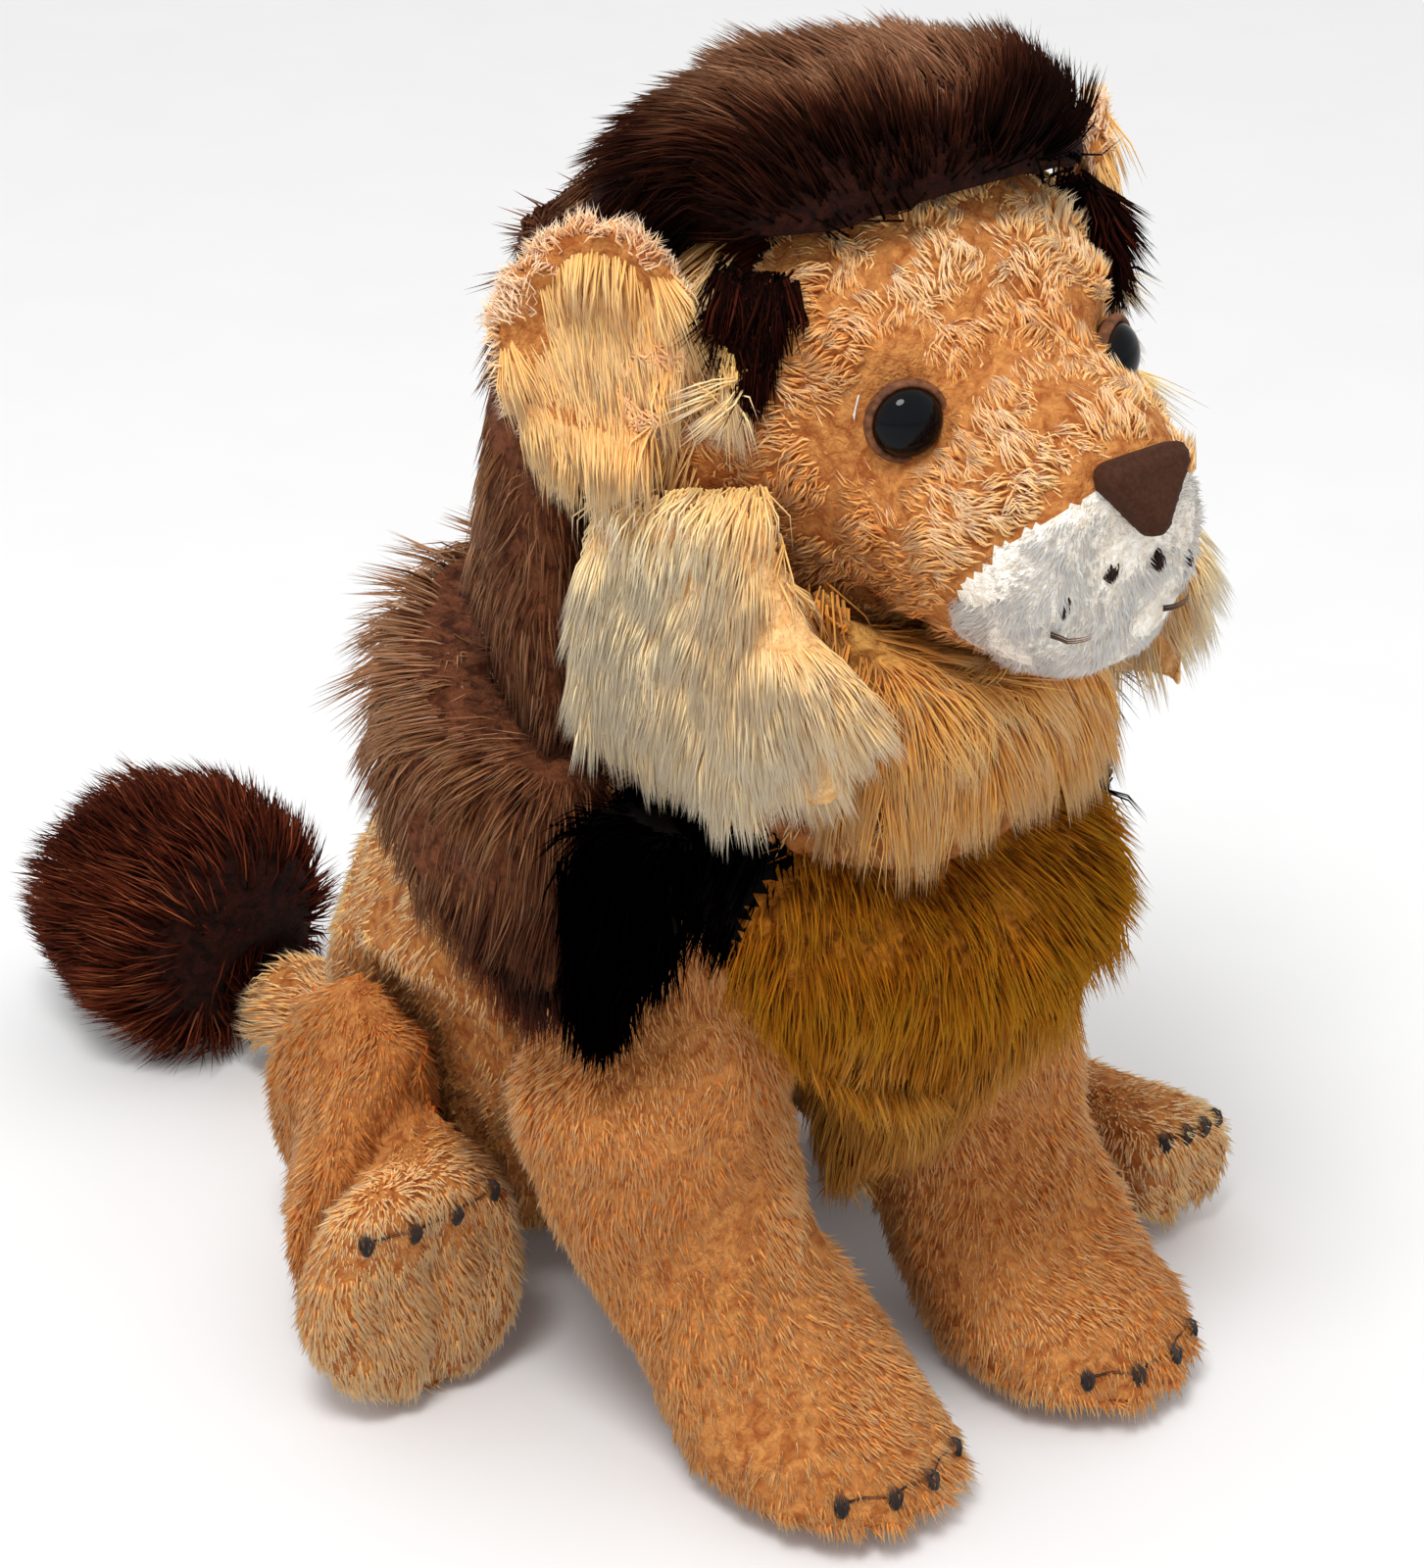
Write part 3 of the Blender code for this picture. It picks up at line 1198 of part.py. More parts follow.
def build():
    clear_scene()
    make_torso()
    torso_cutter = guide(torso_form("torso_cutter", GAP))
    make_cape(torso_cutter, guide(bib_form("bib_cutter", GAP)))
    make_bib(torso_cutter)
    head_pieces, ears = make_head()
    head = hang_on("head_turn", (0, NECK_Y, NECK_HEIGHT), head_pieces)
    for side, name in SIDES:
        ear = hang_on("ear_fold_" + name, ears[side].translation, make_ear(name, ears[side]))
        ear.parent = head
        ear.matrix_parent_inverse = head.matrix_world.inverted()
        shoulder = (side * SHOULDER_X, SHOULDER_Y, SHOULDER_HEIGHT)
        hang_on("foreleg_swing_" + name, shoulder, make_foreleg(side, name))
        hang_on("hindleg_swing_" + name, (side * HIP_X, HIP_Y, HIP_HEIGHT), make_hindleg(side, name))
    hang_on("tail_swing", (TAIL_ROOT_X, TAIL_ROOT_Y, TAIL_HEIGHT), make_tail())


build()
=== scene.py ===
"""The looks of a seated plush lion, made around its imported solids.

Each sewn skin is a stuffed form with a knitted backing, and its pile is made of tapered
strands that grow from the backing. The lion faces -Y and its right side is -X.
Sizes are in metres.
"""
import math

import bmesh
import bpy
import numpy as np
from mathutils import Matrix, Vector
from mathutils.bvhtree import BVHTree


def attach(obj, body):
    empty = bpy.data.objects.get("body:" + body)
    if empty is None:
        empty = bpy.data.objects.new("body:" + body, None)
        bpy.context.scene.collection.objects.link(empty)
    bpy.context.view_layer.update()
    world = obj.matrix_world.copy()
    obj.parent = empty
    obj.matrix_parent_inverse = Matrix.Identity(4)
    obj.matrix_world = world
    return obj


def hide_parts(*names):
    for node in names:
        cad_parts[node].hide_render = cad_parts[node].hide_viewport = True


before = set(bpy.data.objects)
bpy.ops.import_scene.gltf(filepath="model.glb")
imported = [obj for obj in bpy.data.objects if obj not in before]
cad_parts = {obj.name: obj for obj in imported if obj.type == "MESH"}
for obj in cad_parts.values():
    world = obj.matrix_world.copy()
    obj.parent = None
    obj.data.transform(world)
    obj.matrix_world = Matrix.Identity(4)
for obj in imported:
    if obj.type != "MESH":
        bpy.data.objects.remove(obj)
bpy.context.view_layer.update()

BAKE_MAP = "OFBake"

# The photograph's viewpoint
CAMERA_AZIMUTH = math.radians(-40)
CAMERA_ELEVATION = math.radians(26)
CAMERA_DISTANCE = 0.600
CAMERA_TARGET = Vector((-0.0205, -0.070, 0.105))
CAMERA_LENS = 95.74
SENSOR_WIDTH = 36

# Studio
FLOOR_REACH = 4.0
WORLD_LEVEL = 1.0
KEY_POWER = 7.8
KEY_SIZE = 0.36
KEY_PLACE = Vector((-0.42, -0.34, 1.00))
FLOOR_LIFT = 0.02

# Directions
UP = np.array((0.0, 0.0, 1.0))
DOWN = -UP
BACK = np.array((0.0, 1.0, 0.0))

# Stuffing: the cloth's frames and air pressure, the quick stand-in for its swelling, and how
# near the floor a moved point and a strand may go
CLOTH_FRAMES = 20
CLOTH_PRESSURE = 4
QUICK_SWELL = 0.7
FORM_FLOOR_GAP = 0.0004
STRAND_FLOOR_GAP = 0.0002

# Strands: the least density of their roots, how they taper, and how far their three sides
# lie apart on the map
LEAST_DENSITY = 1e-9
STRAND_TAPER = 0.55
STRAND_MAP_SPREAD = 0.004

# Fittings of the face: how an eye is turned, domed and seated, its rim, the plugs that fill
# the fittings' holes, and the muzzle's ellipsoid
EYE_AIM_ANGLE = math.radians(24)
EYE_DOME = 0.0042
EYE_RADIUS = 0.0050
EYE_SEAT_DEPTH = 0.0040
EYE_EDGE_DROP = 0.0010
EYE_BACK_DROP = 0.0020
EYE_RIM_GAP = 0.0003
EYE_RIM_RISE = 0.0004
EYE_RIM_HALF_WIDTH = 0.0006
EYE_RIM_HALF_HEIGHT = 0.0009
EYE_PLUG_DEPTH = 0.0112
EYE_PLUG_RADIUS = 0.0088
NOSE_FRONT_EDGE = -0.129
NOSE_PLUG_DEPTH = 0.0020
NOSE_PLUG_RADIUS = 0.0060
MUZZLE_CENTRE = np.array((0, -0.131, 0.146))
MUZZLE_HALF_SIZES = np.array((0.024, 0.022, 0.020))

# Embroidery
THREAD_RISE = 0.0016
CLAW_THREADS = 9
CLAW_HALF_HEIGHT = 0.0019
CLAW_HALF_WIDTH = 0.0010
CLAW_THREAD_WIDTH = 0.00045
LINK_RISE = 0.0003
LINK_SPREAD = 0.00015
LINK_THREAD_WIDTH = 0.00028
MOUTH_HALF_WIDTH = 0.0003
MOUTH_THREAD_WIDTH = 0.00034
SPOT_REACH = 0.0028

# The face's pile: where it starts, ends and changes
FACE_FLOW_CENTRE = np.array((0, -0.150, 0.150))
FACE_REAR_EDGE = -0.079
FACE_FOOT = 0.128
CHEEK_EDGE_STEP = 0.009
FOREHEAD_THINNING = 0.3

# The sides of the head, and the sloping line between the dark hair and the pale
TEMPLE_FRONT = -0.086
TEMPLE_REAR = -0.060
TEMPLE_FOOT = 0.132
SIDEBURN_TOP = 0.198
CREST_LINE_HEIGHT = 0.180
CREST_LINE_FRONT = -0.092
CREST_LINE_SLOPE = 1.2
DARK_HAIR_TONE = 0.26
EAR_AIM_ANGLE = math.radians(45)
LINING_EDGE = 0.007

# Body and limbs
BODY_PILE_TOP = 0.112
BODY_PILE_FRONT = -0.100
FORELEG_PILE_TOP = 0.100
TOE_CREASE_DEPTH = 0.0022
TOE_CREASE_HALF_WIDTH = 0.0026
TOE_CREASE_REACH = 0.010
HIND_FOLD_PLACE = -0.029
FOLD_DEPTH = 0.0042
PUFF_HEIGHT = 0.0026
PUFF_OFFSET = 0.0105
SOLE_CREASE_DEPTH = 0.0022
SOLE_MARGIN = 0.006

# Manes
RUFF_STEP = np.array((0, -0.0050, 0.0040))
RUFF_ROOT_HEIGHT = 0.122
RUFF_BACK_RISE = 0.007
RUFF_FRONT_RISE = 0.014
HAIRLINE_STEP = 0.0025
THROAT_ROOT_HEIGHT = 0.116
BIB_RIM_STEP = 0.0200


def linear(hex_colour):
    """A screen colour as the linear values that a shader takes."""
    values = []
    for start in (1, 3, 5):
        value = int(hex_colour[start:start + 2], 16) / 255
        values.append(value / 12.92 if value <= 0.04045 else ((value + 0.055) / 1.055) ** 2.4)
    return (*values, 1)


def fed(tree, made, inputs):
    """Set a node's inputs, each to a value or from another node's output socket."""
    for key, value in inputs.items():
        if isinstance(value, bpy.types.NodeSocket):
            tree.links.new(value, made.inputs[key])
        else:
            made.inputs[key].default_value = value
    return made


def node(tree, kind, inputs=None, stops=None, **settings):
    """Add a shader node. Settings are its properties, and stops the colours of a ramp."""
    made = tree.nodes.new("ShaderNode" + kind)
    for key, value in settings.items():
        setattr(made, key, value)
    for index, (place, colour) in enumerate(stops or ()):
        elements = made.color_ramp.elements
        element = elements[index] if index < len(elements) else elements.new(place)
        element.position = place
        element.color = linear(colour)
    return fed(tree, made, inputs or {})


def new_material(name, **sockets):
    """A material with a Principled shader whose even values are set on its own sockets."""
    material = bpy.data.materials.new(name)
    material.use_nodes = True
    shader = material.node_tree.nodes["Principled BSDF"]
    for key, value in sockets.items():
        shader.inputs[key.replace("_", " ")].default_value = value
    return material, material.node_tree, shader


# Materials

def pile_material(name, tones, heights, sheen=0.06, gloss=0.15, glow=0.5):
    """Polyester pile. Across the map each strand has its own tone; up the map a strand goes from its
    root, darkened with painted shade, to its tip."""
    material, tree, shader = new_material(name, Roughness=0.8, Sheen_Weight=sheen,
                                          Sheen_Roughness=0.5, Subsurface_Weight=glow,
                                          Subsurface_Scale=0.0010)
    place = node(tree, "UVMap", uv_map=BAKE_MAP)
    parts = node(tree, "SeparateXYZ", {0: place.outputs[0]})
    tone = node(tree, "ValToRGB", {0: parts.outputs[0]}, stops=tones)
    # Painted shade: this ramp darkens each strand towards its root
    height = node(tree, "ValToRGB", {0: parts.outputs[1]}, stops=heights)
    mixed = node(tree, "Mix", {0: 1.0, 6: tone.outputs[0], 7: height.outputs[0]},
                 data_type="RGBA", blend_type="MULTIPLY")
    fed(tree, shader, {"Base Color": mixed.outputs[2], "Specular IOR Level": gloss,
                       "Subsurface Radius": (1.0, 0.7, 0.45)})
    return material


def backing_material(name, dark, light):
    """Polyester backing under the pile, mottled by the short hairs that stand between the
    strands: a noise of about 2.4 mm, and one of about 0.9 mm that raises it."""
    material, tree, shader = new_material(name, Roughness=0.9)
    place = node(tree, "TexCoord")
    hairs = node(tree, "TexNoise", {"Vector": place.outputs["Object"], "Scale": 1100.0,
                                    "Detail": 6.0, "Distortion": 1.2})
    cloud = node(tree, "TexNoise", {"Vector": place.outputs["Object"], "Scale": 420.0,
                                    "Detail": 6.0, "Distortion": 0.8})
    tone = node(tree, "ValToRGB", {0: cloud.outputs[0]}, stops=((0.34, dark), (0.62, light)))
    bump = node(tree, "Bump", {"Height": hairs.outputs[0], "Strength": 0.9, "Distance": 0.0009})
    fed(tree, shader, {"Base Color": tone.outputs[0], "Normal": bump.outputs[0],
                       "Specular IOR Level": 0.1})
    return material


def eye_material():
    """Polished acrylic safety eye: a deep blue-black pupil and a thin brown ring, read from
    the map's height, which runs from the middle of the dome to its edge."""
    material, tree, shader = new_material("acrylic_eye", Roughness=0.05)
    place = node(tree, "UVMap", uv_map=BAKE_MAP)
    parts = node(tree, "SeparateXYZ", {0: place.outputs[0]})
    ring = node(tree, "ValToRGB", {0: parts.outputs[1]},
                stops=((0.0, "#020306"), (0.80, "#05070C"), (0.90, "#0C0807"), (1.0, "#2A180E")))
    fed(tree, shader, {"Base Color": ring.outputs[0], "Specular IOR Level": 0.12})
    return material


def moulded_material(name, dark, light, roughness, grain, gloss=0.5):
    """Moulded plastic with a faint grain, its mottling drawn from a noise of that scale."""
    material, tree, shader = new_material(name, Roughness=roughness)
    place = node(tree, "TexCoord")
    cloud = node(tree, "TexNoise", {"Vector": place.outputs["Object"], "Scale": grain,
                                    "Detail": 4.0})
    tone = node(tree, "ValToRGB", {0: cloud.outputs[0]}, stops=((0.35, dark), (0.65, light)))
    bump = node(tree, "Bump", {"Height": cloud.outputs[0], "Strength": 0.35, "Distance": 0.0002})
    fed(tree, shader, {"Base Color": tone.outputs[0], "Normal": bump.outputs[0],
                       "Specular IOR Level": gloss})
    return material


def floor_material():
    """White paper sweep. What the camera and reflections see is lifted a little, and the
    lion's shadow stays."""
    material, tree, shader = new_material("paper_sweep", Roughness=0.95)
    place = node(tree, "TexCoord")
    fibre = node(tree, "TexNoise", {"Vector": place.outputs["Object"], "Scale": 30.0})
    tone = node(tree, "ValToRGB", {0: fibre.outputs[0]}, stops=((0.0, "#DADADA"), (1.0, "#DEDEDE")))
    path = node(tree, "LightPath")
    seen = node(tree, "Math", {0: path.outputs["Is Camera Ray"], 1: path.outputs["Is Glossy Ray"]},
                operation="ADD")
    seen = node(tree, "Math", {0: seen.outputs[0], 1: path.outputs["Is Transmission Ray"]},
                operation="ADD")
    lift = node(tree, "Math", {0: seen.outputs[0], 1: FLOOR_LIFT}, operation="MULTIPLY")
    fed(tree, shader, {"Base Color": tone.outputs[0], "Emission Color": (1, 1, 1, 1),
                       "Emission Strength": lift.outputs[0]})
    return material


# Meshes as arrays

def add_mesh(name, points, triangles, material, uv=None):
    """A smooth mesh object from arrays of points, triangles and, corner by corner, its map."""
    mesh = bpy.data.meshes.new(name)
    mesh.vertices.add(len(points))
    mesh.vertices.foreach_set("co", np.asarray(points, np.float32).ravel())
    mesh.loops.add(len(triangles) * 3)
    mesh.loops.foreach_set("vertex_index", np.asarray(triangles, np.int32).ravel())
    mesh.polygons.add(len(triangles))
    mesh.polygons.foreach_set("loop_start", np.arange(len(triangles), dtype=np.int32) * 3)
    if uv is not None:
        layer = mesh.uv_layers.new(name=BAKE_MAP)
        layer.data.foreach_set("uv", np.asarray(uv, np.float32).ravel())
    mesh.update(calc_edges=True)
    mesh.validate()
    mesh.shade_smooth()
    item = bpy.data.objects.new(name, mesh)
    item.data.materials.append(material)
    bpy.context.scene.collection.objects.link(item)
    return item


def points_of(mesh):
    """A mesh's points as an array."""
    values = np.empty(len(mesh.vertices) * 3, np.float32)
    mesh.vertices.foreach_get("co", values)
    return values.reshape(-1, 3).astype(float)


def normals_of(mesh):
    """A mesh's point normals as an array."""
    values = np.empty(len(mesh.vertices) * 3, np.float32)
    mesh.vertex_normals.foreach_get("vector", values)
    return values.reshape(-1, 3).astype(float)


def solid_points(name):
    """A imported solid's points as an array."""
    return points_of(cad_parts[name].data)


def triangles_of(mesh):
    """A mesh's triangles as rows of three point numbers."""
    mesh.calc_loop_triangles()
    values = np.empty(len(mesh.loop_triangles) * 3, np.int32)
    mesh.loop_triangles.foreach_get("vertices", values)
    return values.reshape(-1, 3)


def set_points(mesh, points):
    """Move a mesh's points."""
    mesh.vertices.foreach_set("co", points.astype(np.float32).ravel())
    mesh.update()


def unit(vectors):
    """Each row scaled to length one."""
    return vectors / np.maximum(np.linalg.norm(vectors, axis=-1, keepdims=True), 1e-9)


def waves(points, size, seed, count=5):
    """Smooth pseudo-random values, mostly from -1 to 1: a scaled sum of sine waves that run
    in fixed random directions, each about `size` long."""
    rng = np.random.default_rng(seed)
    directions = unit(rng.normal(size=(count, 3))) * (2 * math.pi / size)
    directions *= rng.uniform(0.6, 1.5, size=(count, 1))
    phases = rng.uniform(0, 2 * math.pi, count)
    return np.sin(points @ directions.T + phases).sum(axis=1) / math.sqrt(count) / 1.2


def applied(item, name, kind, **settings):
    """Add one modifier to an object and keep its result as the object's mesh."""
    modifier = item.modifiers.new(name, kind)
    for key, value in settings.items():
        setattr(modifier, key, value)
    bpy.context.view_layer.update()
    mesh = bpy.data.meshes.new_from_object(item.evaluated_get(bpy.context.evaluated_depsgraph_get()))
    item.modifiers.clear()
    old = item.data
    item.data = mesh
    bpy.data.meshes.remove(old)
    mesh.shade_smooth()
    return item


def joined_copy(name, nodes, material, plugs=()):
    """The named solids as one mesh, their loose triangles merged, with round plugs added
    where a fitting's hole is to be filled."""
    points, triangles, start = [], [], 0
    sources = [(points_of(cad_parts[n].data), triangles_of(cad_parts[n].data)) for n in nodes]
    for cloud, faces in sources + [ball(centre, radius) for centre, radius in plugs]:
        points.append(cloud)
        triangles.append(faces + start)
        start += len(cloud)
    item = add_mesh(name, np.concatenate(points), np.concatenate(triangles), material)
    bm = bmesh.new()
    bm.from_mesh(item.data)
    bmesh.ops.remove_doubles(bm, verts=bm.verts, dist=0.00001)
    bm.to_mesh(item.data)
    bm.free()
    return item


def grid_triangles(rows, columns):
    """Triangles of a grid of points whose columns close into a ring."""
    row, column = np.meshgrid(np.arange(rows - 1), np.arange(columns), indexing="ij")
    row, column = row.ravel(), column.ravel()
    after = (column + 1) % columns
    a, b = row * columns + column, row * columns + after
    c, d = a + columns, b + columns
    return np.concatenate((np.stack((a, b, d), 1), np.stack((a, d, c), 1)))


def ball(centre, radius, rows=9, columns=14):
    """A sphere: rings of points at even angles from pole to pole."""
    rise = np.linspace(-0.499 * math.pi, 0.499 * math.pi, rows)[:, None]
    turn = np.linspace(0, 2 * math.pi, columns, endpoint=False)[None, :]
    cloud = np.stack((np.cos(rise) * np.cos(turn), np.cos(rise) * np.sin(turn),
                      np.sin(rise) + 0 * turn), -1).reshape(-1, 3)
    return cloud * radius + np.asarray(centre), grid_triangles(rows, columns)


# Stuffed forms

def puffed(item, limit):
    """Fill a form with air for some frames of cloth, and let no point go past the limit."""
    rest = points_of(item.data)
    cloth = item.modifiers.new("stuffing", "CLOTH")
    cloth.settings.use_pressure = True
    cloth.settings.uniform_pressure_force = CLOTH_PRESSURE
    cloth.settings.effector_weights.gravity = 0
    cloth.point_cache.frame_end = CLOTH_FRAMES
    scene = bpy.context.scene
    for number in range(1, CLOTH_FRAMES + 1):
        scene.frame_set(number)
    evaluated = item.evaluated_get(bpy.context.evaluated_depsgraph_get())
    moved = points_of(evaluated.to_mesh())
    evaluated.to_mesh_clear()
    item.modifiers.clear()
    scene.frame_set(1)
    way = moved - rest
    length = np.linalg.norm(way, axis=1, keepdims=True)
    set_points(item.data, rest + way * np.minimum(1, limit / np.maximum(length, 1e-9)))
    return item


def stuffed(name, nodes, body, material, voxel=0.0045, inset=0.0024, swell=0.0012,
            plugs=(), shape=None):
    """A stuffed form over the named solids: one skin round them all, drawn in by the inset a
    little at a time, swelled by simulated cloth, made finer and shaped. The shape gives a
    height along each point's normal, or a step for each point."""
    item = joined_copy(name, nodes, material, plugs)
    applied(item, "skin", "REMESH", mode="VOXEL", voxel_size=voxel)
    applied(item, "smooth", "SMOOTH", factor=0.5, iterations=3)
    steps = max(1, round(inset / 0.001))
    for _ in range(steps):
        set_points(item.data, points_of(item.data) - normals_of(item.data) * inset / steps)
        applied(item, "smooth", "SMOOTH", factor=0.35, iterations=1)
    if swell:
        puffed(item, swell)
    elif swell:
        set_points(item.data, points_of(item.data) + normals_of(item.data) * swell * QUICK_SWELL)
    applied(item, "finer", "SUBSURF", levels=1, render_levels=1)
    if shape:
        points = points_of(item.data)
        change = shape(points)
        moved = points + (change if change.ndim == 2 else normals_of(item.data) * change[:, None])
        moved[:, 2] = np.maximum(moved[:, 2], np.minimum(points[:, 2], FORM_FLOOR_GAP))
        set_points(item.data, moved)
    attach(item, body)
    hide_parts(*nodes)
    return item


# Pile

def smooth_step(value, low, high):
    """0 below low, 1 above high, and a smooth rise between them."""
    share = np.clip((value - low) / (high - low), 0, 1)
    return share * share * (3 - 2 * share)


def nearest_distance(points, marks):
    """Each point's distance to the nearest mark."""
    best = np.full(len(points), 1.0)
    for start in range(0, len(points), 4000):
        block = points[start:start + 4000]
        gaps = np.linalg.norm(block[:, None, :] - marks[None, :, :], axis=2)
        best[start:start + 4000] = gaps.min(axis=1)
    return best


def nearest_guide(points, guides):
    """The number of each point's nearest guide."""
    found = np.zeros(len(points), int)
    for start in range(0, len(points), 2000):
        block = points[start:start + 2000]
        gaps = ((block[:, None, :] - guides[None, :, :]) ** 2).sum(axis=2)
        found[start:start + 2000] = gaps.argmin(axis=1)
    return found


def scattered(item, count, rng, density):
    """Even random places on a mesh: triangles picked by area times density, then a random
    point in each. Gives the points and their normals. Every triangle has a share too small
    to be seen, so that there are places even where the density is nil everywhere."""
    mesh = item.data
    points, normals, triangles = points_of(mesh), normals_of(mesh), triangles_of(mesh)
    corners = points[triangles]
    area = np.linalg.norm(np.cross(corners[:, 1] - corners[:, 0], corners[:, 2] - corners[:, 0]), axis=1)
    middle = corners.mean(axis=1)
    weight = area * np.clip(density(middle, unit(normals[triangles].mean(axis=1))), 0, None)
    weight += area * LEAST_DENSITY
    picked = rng.choice(len(triangles), count, p=weight / weight.sum())
    first = np.sqrt(rng.uniform(size=count))
    second = rng.uniform(size=count)
    shares = np.stack((1 - first, first * (1 - second), first * second), 1)[:, :, None]
    return (corners[picked] * shares).sum(axis=1), unit((normals[triangles[picked]] * shares).sum(axis=1))


def strand_paths(roots, normals, comb, lengths, style, rng):
    """Centre lines of strands. Each starts along a direction between its normal and the comb,
    turns towards the comb and the floor, may wave from side to side, and is drawn to the
    tip of the nearest guide strand."""
    count = len(roots)
    along = unit(comb - (comb * normals).sum(axis=1, keepdims=True) * normals)
    side = np.cross(normals, along)
    swirl = (waves(roots, style["swirl_size"], style["seed"] + 1) * style["swirl"]
             + rng.normal(size=count) * style["stray"])[:, None]
    along = along * np.cos(swirl) + side * np.sin(swirl)
    side = np.cross(normals, along)
    lean = (style["lean"] + rng.normal(size=count) * style["stray"] * 0.6
            + waves(roots, style["swirl_size"], style["seed"] + 2) * style["swirl"] * 0.4)[:, None]
    last = lean + style["bend"]
    start = normals * np.cos(lean) + along * np.sin(lean)
    end = unit(normals * np.cos(last) + along * np.sin(last) + DOWN * style["droop"])
    stops = np.linspace(0, 1, style["steps"] + 1)[None, :, None]
    way = start[:, None] * (stops - stops ** 2 / 2) + end[:, None] * stops ** 2 / 2
    phase = rng.uniform(0, 2 * math.pi, (count, 1, 1))
    wave = np.sin(stops * style["waviness"] + phase) - np.sin(phase)
    way = way + side[:, None] * wave * style["curl"]
    paths = roots[:, None] + way * lengths[:, None, None]
    guides = max(1, int(count / style["bunch"]))
    mine = nearest_guide(roots, roots[:guides])
    pull = style["clump"] * stops ** 1.5
    return paths + (paths[mine] - paths) * pull


def strand_mesh(name, paths, width, shade, material, rng):
    """Tapered three-sided strands round the paths, closed at the root and pointed at the tip.
    The map's width holds a strand's tone and its height runs from root to tip."""
    count, rings = paths.shape[0], paths.shape[1] - 1
    ahead = unit(paths[:, 1] - paths[:, 0])
    across = unit(np.cross(ahead, rng.normal(size=(count, 3))))
    other = np.cross(ahead, across)
    turn = np.arange(3) * 2 * math.pi / 3
    circle = across[:, None] * np.cos(turn)[None, :, None] + other[:, None] * np.sin(turn)[None, :, None]
    taper = np.linspace(1, 0, rings + 1)[:rings] ** STRAND_TAPER
    size = width[:, None] * taper[None, :] / 2
    body = paths[:, :rings, None] + circle[:, None] * size[:, :, None, None]
    points = np.concatenate((body.reshape(count, rings * 3, 3), paths[:, rings:]), axis=1)
    side, after = np.arange(3), (np.arange(3) + 1) % 3
    parts = [np.array([[0, 2, 1]])]
    for ring in range(rings - 1):
        low, high = ring * 3, ring * 3 + 3
        parts.append(np.stack((low + side, low + after, high + after), 1))
        parts.append(np.stack((low + side, high + after, high + side), 1))
    low = (rings - 1) * 3
    parts.append(np.stack((low + side, low + after, np.full(3, rings * 3)), 1))
    pattern = np.concatenate(parts)
    each = rings * 3 + 1
    triangles = (pattern[None] + (np.arange(count) * each)[:, None, None]).reshape(-1, 3)
    spread = np.tile(np.array((-STRAND_MAP_SPREAD, 0.0, STRAND_MAP_SPREAD)), rings)
    across_map = np.append(spread, 0.0)[None, :] + np.clip(shade, 0.03, 0.97)[:, None]
    up_map = np.append(np.repeat(np.arange(rings) / rings, 3), 1.0)[None, :] * 0.96 + 0.02
    up_map = np.broadcast_to(up_map, across_map.shape)
    uv = np.stack((across_map, up_map), -1).reshape(-1, 2)[triangles.ravel()]
    return add_mesh(name, points.reshape(-1, 3), triangles, material, uv)


# A pile's usual style. depth is how far the roots lie under the form, lean and bend are angles
# from the normal, stray is a spread of angles, bunch is how many strands share one guide, and
# clump is how far they close on it
STYLE = {"depth": 0.0008, "lean": 0.9, "bend": 0.45, "droop": 0.1, "swirl": 0.5,
         "swirl_size": 0.018, "stray": 0.22, "curl": 0.0, "waviness": 5.0, "bunch": 9,
         "clump": 0.35, "steps": 2, "tone_spread": 0.10, "patch": 0.10, "patch_size": 0.03}


def pile(name, base, body, slot, material, count, length, width, comb, seed,
         density=None, tone=None, clearings=(), replaces=(), **changes):
    """Pile on a stuffed form. The comb gives each strand's direction and the tone its place
    in the material's colours. Near a clearing's marks no strand grows, and further out they
    rise to their full length."""
    style = {**STYLE, **changes, "seed": seed}
    rng = np.random.default_rng(seed)
    everywhere = density or (lambda points, normals: np.ones(len(points)))

    def thinned(points, normals):
        amount = everywhere(points, normals)
        for marks, none_within, _ in clearings:
            amount = amount * (nearest_distance(points, marks) > none_within)
        return amount

    roots, normals = scattered(base, count, rng, thinned)
    lengths = length * rng.uniform(0.72, 1.12, count)
    lengths *= 1 + 0.18 * waves(roots, 0.012, seed + 5)
    for marks, none_within, full_beyond in clearings:
        gaps = nearest_distance(roots, marks)
        lengths *= 0.25 + 0.75 * smooth_step(gaps, none_within, full_beyond)
    shade = (tone(roots) if tone else np.full(count, 0.5)) + rng.normal(size=count) * style["tone_spread"]
    shade = shade + waves(roots, style["patch_size"], seed + 7) * style["patch"]
    paths = strand_paths(roots - normals * style["depth"], normals, comb(roots), lengths, style, rng)
    paths[:, :, 2] = np.maximum(paths[:, :, 2], STRAND_FLOOR_GAP)
    widths = width * rng.uniform(0.75, 1.2, count)
    item = strand_mesh(name, paths, widths, shade, material, rng)
    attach(item, body)
    if replaces:
        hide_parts(*replaces)
    return item


def even(direction):
    """A comb that runs the same way everywhere."""
    direction = np.asarray(direction, float)
    return lambda points: np.broadcast_to(direction, points.shape)


def level(tone):
    """One tone everywhere."""
    return lambda points: np.full(len(points), tone)


def away_from(centre, drift=(0, 0, 0)):
    """A comb that runs away from a point, with a drift added."""
    centre, drift = np.asarray(centre, float), np.asarray(drift, float)
    return lambda points: unit(points - centre) + drift


# Fittings

def eye_marks(name):
    """An eye's axis and the middle of the front of its dome, from its solid."""
    side = -1 if name == "right" else 1
    out = np.array((side * math.sin(EYE_AIM_ANGLE), -math.cos(EYE_AIM_ANGLE), 0))
    cloud = solid_points("eye_" + name)
    heights = cloud @ out
    middle = cloud.mean(axis=0)
    return out, middle + out * (heights.max() - middle @ out)


